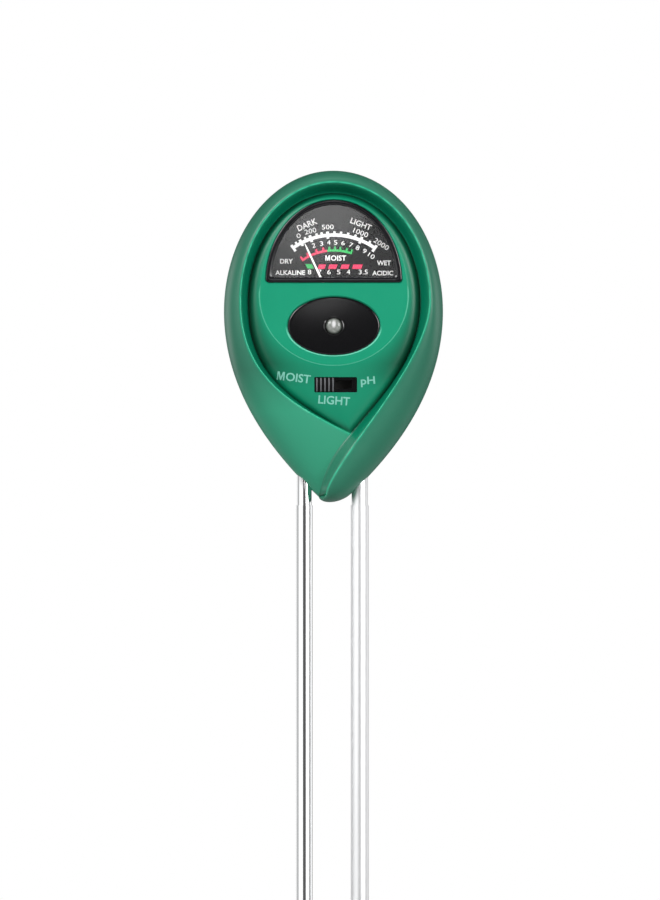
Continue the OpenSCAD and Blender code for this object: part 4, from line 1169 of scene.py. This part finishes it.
# Words, the pixel of their middle, width and height in millimetres, turn in degrees
DIAL_WORDS = (
    ("0", 298.7, 235.2, 1.2, 1.3, -24), ("200", 310.5, 230.5, 3.4, 1.4, -13),
    ("500", 327.8, 226.5, 3.4, 1.36, -2), ("1000", 360.8, 232.1, 4.4, 1.45, 21),
    ("2000", 381.3, 243.5, 4.8, 1.45, 33),
    ("2", 313.8, 244.9, 1.0, 1.3, -15), ("3", 321.5, 243, 1.0, 1.3, -9),
    ("4", 328.8, 242, 1.0, 1.3, -4), ("5", 335.7, 241.9, 1.0, 1.3, 0),
    ("6", 343.1, 242.5, 1.0, 1.3, 6), ("7", 351.1, 244.4, 1.0, 1.3, 18),
    ("8", 357.7, 247.2, 1.0, 1.3, 22), ("9", 364.6, 250.5, 1.0, 1.3, 28),
    ("10", 371.4, 255.3, 1.9, 1.35, 33),
    ("8", 309.6, 271.4, 1.0, 1.35, 0), ("7", 319.8, 271.4, 1.0, 1.35, 0),
    ("6", 329, 271.4, 1.0, 1.35, 0), ("5", 338.7, 271.4, 1.0, 1.35, 0),
    ("4", 348.4, 271.4, 1.05, 1.35, 0), ("3.5", 363.2, 271.4, 2.6, 1.35, 0),
    ("DARK", 307.2, 224.1, 6.0, 1.75, -23), ("LIGHT", 361, 223.6, 6.3, 1.65, 21),
    ("DRY", 286.6, 260.7, 3.7, 1.4, 0), ("WET", 383.9, 262.4, 4.0, 1.4, 0),
    ("ALKALINE", 290.3, 272.1, 8.6, 1.36, 0), ("ACIDIC", 382.7, 272.5, 6.0, 1.36, 0),
    ("MOIST", 335.8, 257.5, 6.0, 1.55, 0))
SWITCH_WORDS = (("MOIST", 294.0, 376.8, 9.7, 2.45, 7), ("pH", 367.8, 381.0, 4.1, 2.9, -4),
                ("LIGHT", 334.2, 399.7, 9.1, 2.45, 4))
DIAL_BOLD, SWITCH_BOLD = 0.02, 0.018


def make_printing():
    """The dial's printing: scales, numbers and words in white, red and green."""
    y = DIAL_LOW[1] - 0.01
    white = [arc_patch(19.95, 20.9, -35.2, 35.6, y),
             *marks((-35.0, 35.4), 1.1, 19.2, 21.4, y),
             *marks((-27.3, -18.9, -4.9, 22.3), 1.1, 19.45, 21.5, y),
             *marks((-31, -23, -13.6, -9.6, 0.5, 5.7, 11.3, 17.2, 29.4), 0.9, 20.0, 21.5, y)]
    for row in DIAL_WORDS:
        word = flat_text(*row, DIAL_BOLD if row[0].isalpha() else 0.0)
        white.append(thicken(word, y - 0.03, 0.03))
    red = [arc_patch(15.65, 16.3, -35, -7, y),
           *marks((-34, -27, -17.5, -10.5), 1, 15.9, 17.1, y)]
    for px, width in ((321.8, 2.0), (332.8, 2.3), (345, 2.3), (357.3, 2.7)):
        red.append(bar_patch(at_photo(px, 266.1), width, 1.25, y, 0.35))
    green = [arc_patch(15.65, 16.3, -6.8, 19, y),
             *marks((-4.5, 1.2, 6.5, 13, 18), 0.9, 15.9, 17.1, y),
             bar_patch(at_photo(309.8, 265.8), 1.9, 1.3, y, -0.5)]
    return {"ink_white": join_pieces("dial_print_white", white),
            "ink_red": join_pieces("dial_print_red", red),
            "ink_green": join_pieces("dial_print_green", green)}


def make_legends(shell):
    """The words round the switch, laid on the curved face: each point's depth is where
    a ray from the front meets the moulding."""
    tree = BVHTree.FromObject(shell, bpy.context.evaluated_depsgraph_get())
    made = []
    for row in SWITCH_WORDS:
        word = flat_text(*row, SWITCH_BOLD)
        with editing(word.data, 1e-9) as bm:
            bmesh.ops.triangulate(bm, faces=bm.faces)
            long = [edge for edge in bm.edges if edge.calc_length() > 0.5 * MM]
            bmesh.ops.subdivide_edges(bm, edges=long, cuts=2)
            bmesh.ops.triangulate(bm, faces=bm.faces)
        depth = []
        for vert in word.data.vertices:
            hit = tree.ray_cast(Vector((vert.co.x, -0.03, vert.co.z)), Vector((0, 1, 0)))[0]
            if hit is None:
                raise RuntimeError("a legend point lies beside the moulding")
            depth.append(hit.y / MM - 0.05)
        made.append(thicken(word, depth, 0.06))
    return join_pieces("switch_legends", made)


# ---------------------------------------------------------------- settings of the add-on
class MeterLook(bpy.types.PropertyGroup):
    """What a user would change about the meter's surroundings."""
    camera_distance: bpy.props.FloatProperty(
        name="Camera distance", description="From the lens to the parting plane",
        default=2.5, min=0.4, unit="LENGTH")
    frame_height: bpy.props.FloatProperty(
        name="Frame height", description="Height of the picture at the meter",
        default=0.2601, min=0.05, unit="LENGTH")
    lamp_level: bpy.props.FloatProperty(
        name="Lamp level", description="Strength of all lamps together", default=1.0, min=0)


class METER_OT_stage(bpy.types.Operator):
    """Adds the floor, the world, the lamps and the camera"""
    bl_idname = "meter.stage"
    bl_label = "Stage"

    def execute(self, context):
        build_stage(context.scene, context.scene.meter_look)
        return {"FINISHED"}


class METER_OT_case(bpy.types.Operator):
    """Makes the two shells and the words on the front"""
    bl_idname = "meter.case"
    bl_label = "Shells and legends"

    def execute(self, context):
        front = make_front_shell()
        finish(front, "case", "green_front", "shell_green", "front_shell")
        finish(make_rear_shell(), "case", "green_rear", "shell_green", "rear_shell")
        finish(make_legends(front), "case", "ink_teal", "shell_green")
        return {"FINISHED"}


class METER_OT_dial(bpy.types.Operator):
    """Makes the bezel, the window, the printed dial and the needle"""
    bl_idname = "meter.dial"
    bl_label = "Dial"

    def execute(self, context):
        finish(make_bezel(), "case", "gloss_black", "black_gloss", "meter_bezel")
        finish(make_window(), "case", "clear_cover", "clear_window", "meter_window")
        finish(make_dial(), "case", "dial_black", "dial_print", "dial_plate")
        for ink, piece in make_printing().items():
            finish(piece, "case", ink, "dial_print")
        finish(make_needle(), "needle", "needle_paint", "needle_white", "needle")
        return {"FINISHED"}


class METER_OT_sensor(bpy.types.Operator):
    """Makes the oval plate and the clear dome over the light cell"""
    bl_idname = "meter.sensor"
    bl_label = "Light sensor"

    def execute(self, context):
        finish(make_sensor_plate(), "case", "satin_black", "black_gloss", "sensor_plate")
        finish(make_lens(), "case", "clear_dome", "clear_lens", "sensor_lens")
        return {"FINISHED"}


class METER_OT_switch(bpy.types.Operator):
    """Makes the ribbed slider"""
    bl_idname = "meter.switch"
    bl_label = "Switch"

    def execute(self, context):
        finish(make_knob(), "switch", "black_rib_highlights", "black_matte", "switch_knob")
        return {"FINISHED"}


class METER_OT_probes(bpy.types.Operator):
    """Makes the two probes"""
    bl_idname = "meter.probes"
    bl_label = "Probes"

    def execute(self, context):
        for name, kind, slot in (("left_probe", "probe_polished", "probe_bright"),
                                 ("right_probe", "probe_satin", "probe_satin")):
            finish(make_probe(name), "case", kind, slot, name)
        return {"FINISHED"}


class METER_OT_inside(bpy.types.Operator):
    """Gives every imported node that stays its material"""
    bl_idname = "meter.inside"
    bl_label = "Inner parts"

    def execute(self, context):
        for name, kind in KEPT_NODES.items():
            dress(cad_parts[name], kind)
        return {"FINISHED"}


OPERATORS = (METER_OT_stage, METER_OT_case, METER_OT_dial, METER_OT_sensor,
             METER_OT_switch, METER_OT_probes, METER_OT_inside)


class METER_PT_panel(bpy.types.Panel):
    """Lists the settings and the steps in the sidebar"""
    bl_label = "Soil Meter"
    bl_idname = "METER_PT_panel"
    bl_space_type = "VIEW_3D"
    bl_region_type = "UI"
    bl_category = "Soil Meter"

    def draw(self, context):
        look = context.scene.meter_look
        for key in ("camera_distance", "frame_height", "lamp_level"):
            self.layout.prop(look, key)
        for step in OPERATORS:
            self.layout.operator(step.bl_idname)


# ---------------------------------------------------------------- stage
FLOOR_R, FLOOR_T, FLOOR_GAP, FLOOR_STEPS = 700, 5, 0.3, 64
# The floor turns white between these distances in metres, with these shares of white
FLOOR_FADE = (0.1, 0.5, 0.6, 1.0)
FLOOR_GLINT = 0.3  # the reflections' share of it
# The tent's walls dim as a reflection looks further to the front or back, and its white
# strip ends as it looks higher or lower: where that starts and ends, and both values
TENT_WALLS = (0.2, 0.85, 0.3, 0.03)
TENT_STRIP = (0.12, 0.3, 1.0, 0.0)
CARD_GLOW = (68 * MM, 103 * MM, 0.5, 2.2)
SENSOR_MM = 24
AIM_X, AIM_Z = -1.0, 15.0  # the point of the meter in the middle of the picture
# Each lamp's place and the height it faces, in metres, its width, height and watts
LAMPS = {
    "key": ((-1.0, -1.2, 0.9), 0.04, 0.8, 0.8, 19.5),
    "fill": ((1.1, -1.15, 0.4), 0.04, 0.8, 0.8, 13.5),
    "top": ((0.0, -0.1, 1.1), 0.0, 0.7, 0.7, 1.5),
    "crown": ((0.0, -1.3, 0.42), 0.05, 0.05, 0.4, 0.25),
    "back": ((0.5, 1.6, 0.8), 0.04, 0.8, 0.8, 14.0),
}


def build_stage(scene, look):
    """Pale floor, white surroundings, soft lamps and the camera at the photo's angle."""
    top = CAD_BOX[0][2] / MM - FLOOR_GAP
    a = np.linspace(0, 2 * np.pi, FLOOR_STEPS, endpoint=False)
    edge = FLOOR_R * np.stack([np.cos(a), np.sin(a), 0 * a], -1)
    floor = ring_solid("floor", [edge + (0, 0, z) for z in (top - FLOOR_T, top)])
    floor.data.materials.append(floor_material())
    add_card()
    build_world(scene)
    for name, (place, aim, width, height, watts) in LAMPS.items():
        add_lamp(scene, name, place, aim, width, height, watts * look.lamp_level)
    camera = bpy.data.cameras.new("camera")
    camera.sensor_fit = "VERTICAL"
    camera.sensor_height = SENSOR_MM
    camera.lens = SENSOR_MM * look.camera_distance / look.frame_height
    camera.clip_end = 20
    eye = bpy.data.objects.new("camera", camera)
    eye.location = (AIM_X * MM, -look.camera_distance, AIM_Z * MM)
    eye.rotation_euler = (math.pi / 2, 0, 0)
    scene.collection.objects.link(eye)
    scene.camera = eye
    scene.view_settings.view_transform = "Standard"


def add_lamp(scene, name, place, aim, width, height, watts):
    """A rectangular soft lamp that faces a point of the meter's axis. The one behind
    isn't reflected, because it would draw a white line along the head's edge."""
    data = bpy.data.lights.new(name, "AREA")
    data.shape = "RECTANGLE"
    data.size, data.size_y = width, height
    data.energy = watts
    lamp = bpy.data.objects.new(name, data)
    lamp.location = place
    facing = Vector((0, 0, aim)) - Vector(place)
    lamp.rotation_euler = facing.to_track_quat("-Z", "Y").to_euler()
    lamp.visible_camera = False
    lamp.visible_glossy = name != "back"
    scene.collection.objects.link(lamp)


# The card as the glass shows it, upper left corner first, and how the place on the glass
# is carried to the card's distance
CARD_ON_GLASS = ((-24, 90), (15.2, 90), (-6.6, 62), (-24, 62))
CARD_Y, CARD_SCALE, CARD_SHIFT = -500, 1.194, (0.2, -2.9)


def add_card():
    """A small lit card in front of the dial, which only reflections see: the glass shows
    it as a grey sheen with a slanting lower edge, brightest at the top."""
    a, b, c, d = np.array(CARD_ON_GLASS) * CARD_SCALE + CARD_SHIFT
    card = slab("card", np.array([[a, d], [b, c]]), CARD_Y, 0.5)
    mat, tree, _, place = start_material("lit_card")
    split = add(tree, "ShaderNodeSeparateXYZ", links={0: place})
    level = ranged(tree, split.outputs["Z"], *CARD_GLOW)
    show(tree, add(tree, "ShaderNodeEmission", links={"Strength": level}))
    card.data.materials.append(mat)
    card.visible_camera = card.visible_shadow = card.visible_diffuse = False


def seen_straight(tree, ray):
    """1 for a ray from the camera, also through the glass, else 0."""
    return calc(tree, "MAXIMUM", ray.outputs["Is Camera Ray"],
                ray.outputs["Is Transmission Ray"])


def floor_material():
    """Matt floor that keeps the meter's shadow. The camera sees it paler than it lights
    the meter, and white far away; reflections see a little of that white."""
    mat, tree, base, place = start_material("white_floor", {
        "Roughness": 0.8, "Base Color": (*hex_to_linear("#818181"), 1)})
    ray = add(tree, "ShaderNodeLightPath")
    white = add(tree, "ShaderNodeEmission", values={"Color": (1, 1, 1, 1), "Strength": 1.0})
    far = add(tree, "ShaderNodeVectorMath", {"operation": "LENGTH"}, links={0: place})
    fade = ranged(tree, far.outputs["Value"], *FLOOR_FADE)
    glint = calc(tree, "MULTIPLY", ray.outputs["Is Glossy Ray"], FLOOR_GLINT)
    share = calc(tree, "MULTIPLY", fade,
                 calc(tree, "MAXIMUM", seen_straight(tree, ray), glint))
    show(tree, add(tree, "ShaderNodeMixShader", links={
        0: share, 1: base.outputs[0], 2: white.outputs[0]}))
    return mat


# Turns from the camera's side (0) round to behind the meter (1), and how bright the
# tent is there: left of the camera, then right
TENT_LEFT = ((0.0, 0.1), (0.1, 0.1), (0.13, 1.15), (0.48, 1.15), (0.52, 0.45),
             (0.7, 0.45), (0.74, 1.1), (0.82, 1.1), (0.88, 0.1), (1.0, 0.1))
TENT_RIGHT = ((0.0, 0.1), (0.1, 0.1), (0.13, 1.15), (0.37, 1.15), (0.41, 0.3),
              (0.52, 0.3), (0.56, 1.1), (0.74, 1.1), (0.82, 0.1), (1.0, 0.1))


def tent_side(tree, turn, stops):
    """The brightness of one side of the tent, looked up by the turn from the camera."""
    ramp = add(tree, "ShaderNodeValToRGB", links={"Fac": turn})
    points = ramp.color_ramp.elements
    while len(points) < len(stops):
        points.new(1.0)
    for point, (place, level) in zip(points, stops):
        point.position = place
        point.color = (level, level, level, 1)
    return ramp.outputs["Color"]


def build_world(scene):
    """White to the camera everywhere. Reflections see a level strip of white card with
    grey gaps, dark in front and behind, and dimmer walls above and below it."""
    world = bpy.data.worlds.new("white_tent")
    scene.world = world
    world.use_nodes = True
    tree = world.node_tree
    tree.nodes.clear()
    place = add(tree, "ShaderNodeTexCoord").outputs["Generated"]
    x, y, z = add(tree, "ShaderNodeSeparateXYZ", links={0: place}).outputs
    angle = calc(tree, "ARCTAN2", calc(tree, "ABSOLUTE", x), calc(tree, "MULTIPLY", y, -1.0))
    turn = calc(tree, "DIVIDE", angle, math.pi)
    strip = mixed(tree, calc(tree, "GREATER_THAN", x, 0.0), tent_side(tree, turn, TENT_LEFT),
                  tent_side(tree, turn, TENT_RIGHT))
    walls = ranged(tree, calc(tree, "ABSOLUTE", y), *TENT_WALLS, "SMOOTHSTEP")
    band = ranged(tree, calc(tree, "ABSOLUTE", z), *TENT_STRIP, "SMOOTHSTEP")
    level = mixed(tree, band, walls, strip)
    ray = add(tree, "ShaderNodeLightPath")
    seen = mixed(tree, seen_straight(tree, ray), level, "#ffffff")
    shade = add(tree, "ShaderNodeBackground", links={"Color": seen})
    add(tree, "ShaderNodeOutputWorld", links={"Surface": shade.outputs[0]})


CLASSES = (MeterLook, *OPERATORS, METER_PT_panel)


def register():
    for cls in CLASSES:
        bpy.utils.register_class(cls)
    bpy.types.Scene.meter_look = bpy.props.PointerProperty(type=MeterLook)


def unregister():
    del bpy.types.Scene.meter_look
    for cls in reversed(CLASSES):
        bpy.utils.unregister_class(cls)


def main():
    """Registers the add-on and runs its steps in order."""
    register()
    for step in OPERATORS:
        group, name = step.bl_idname.split(".")
        getattr(getattr(bpy.ops, group), name)()
    bpy.context.view_layer.update()


if __name__ == "__main__":
    main()
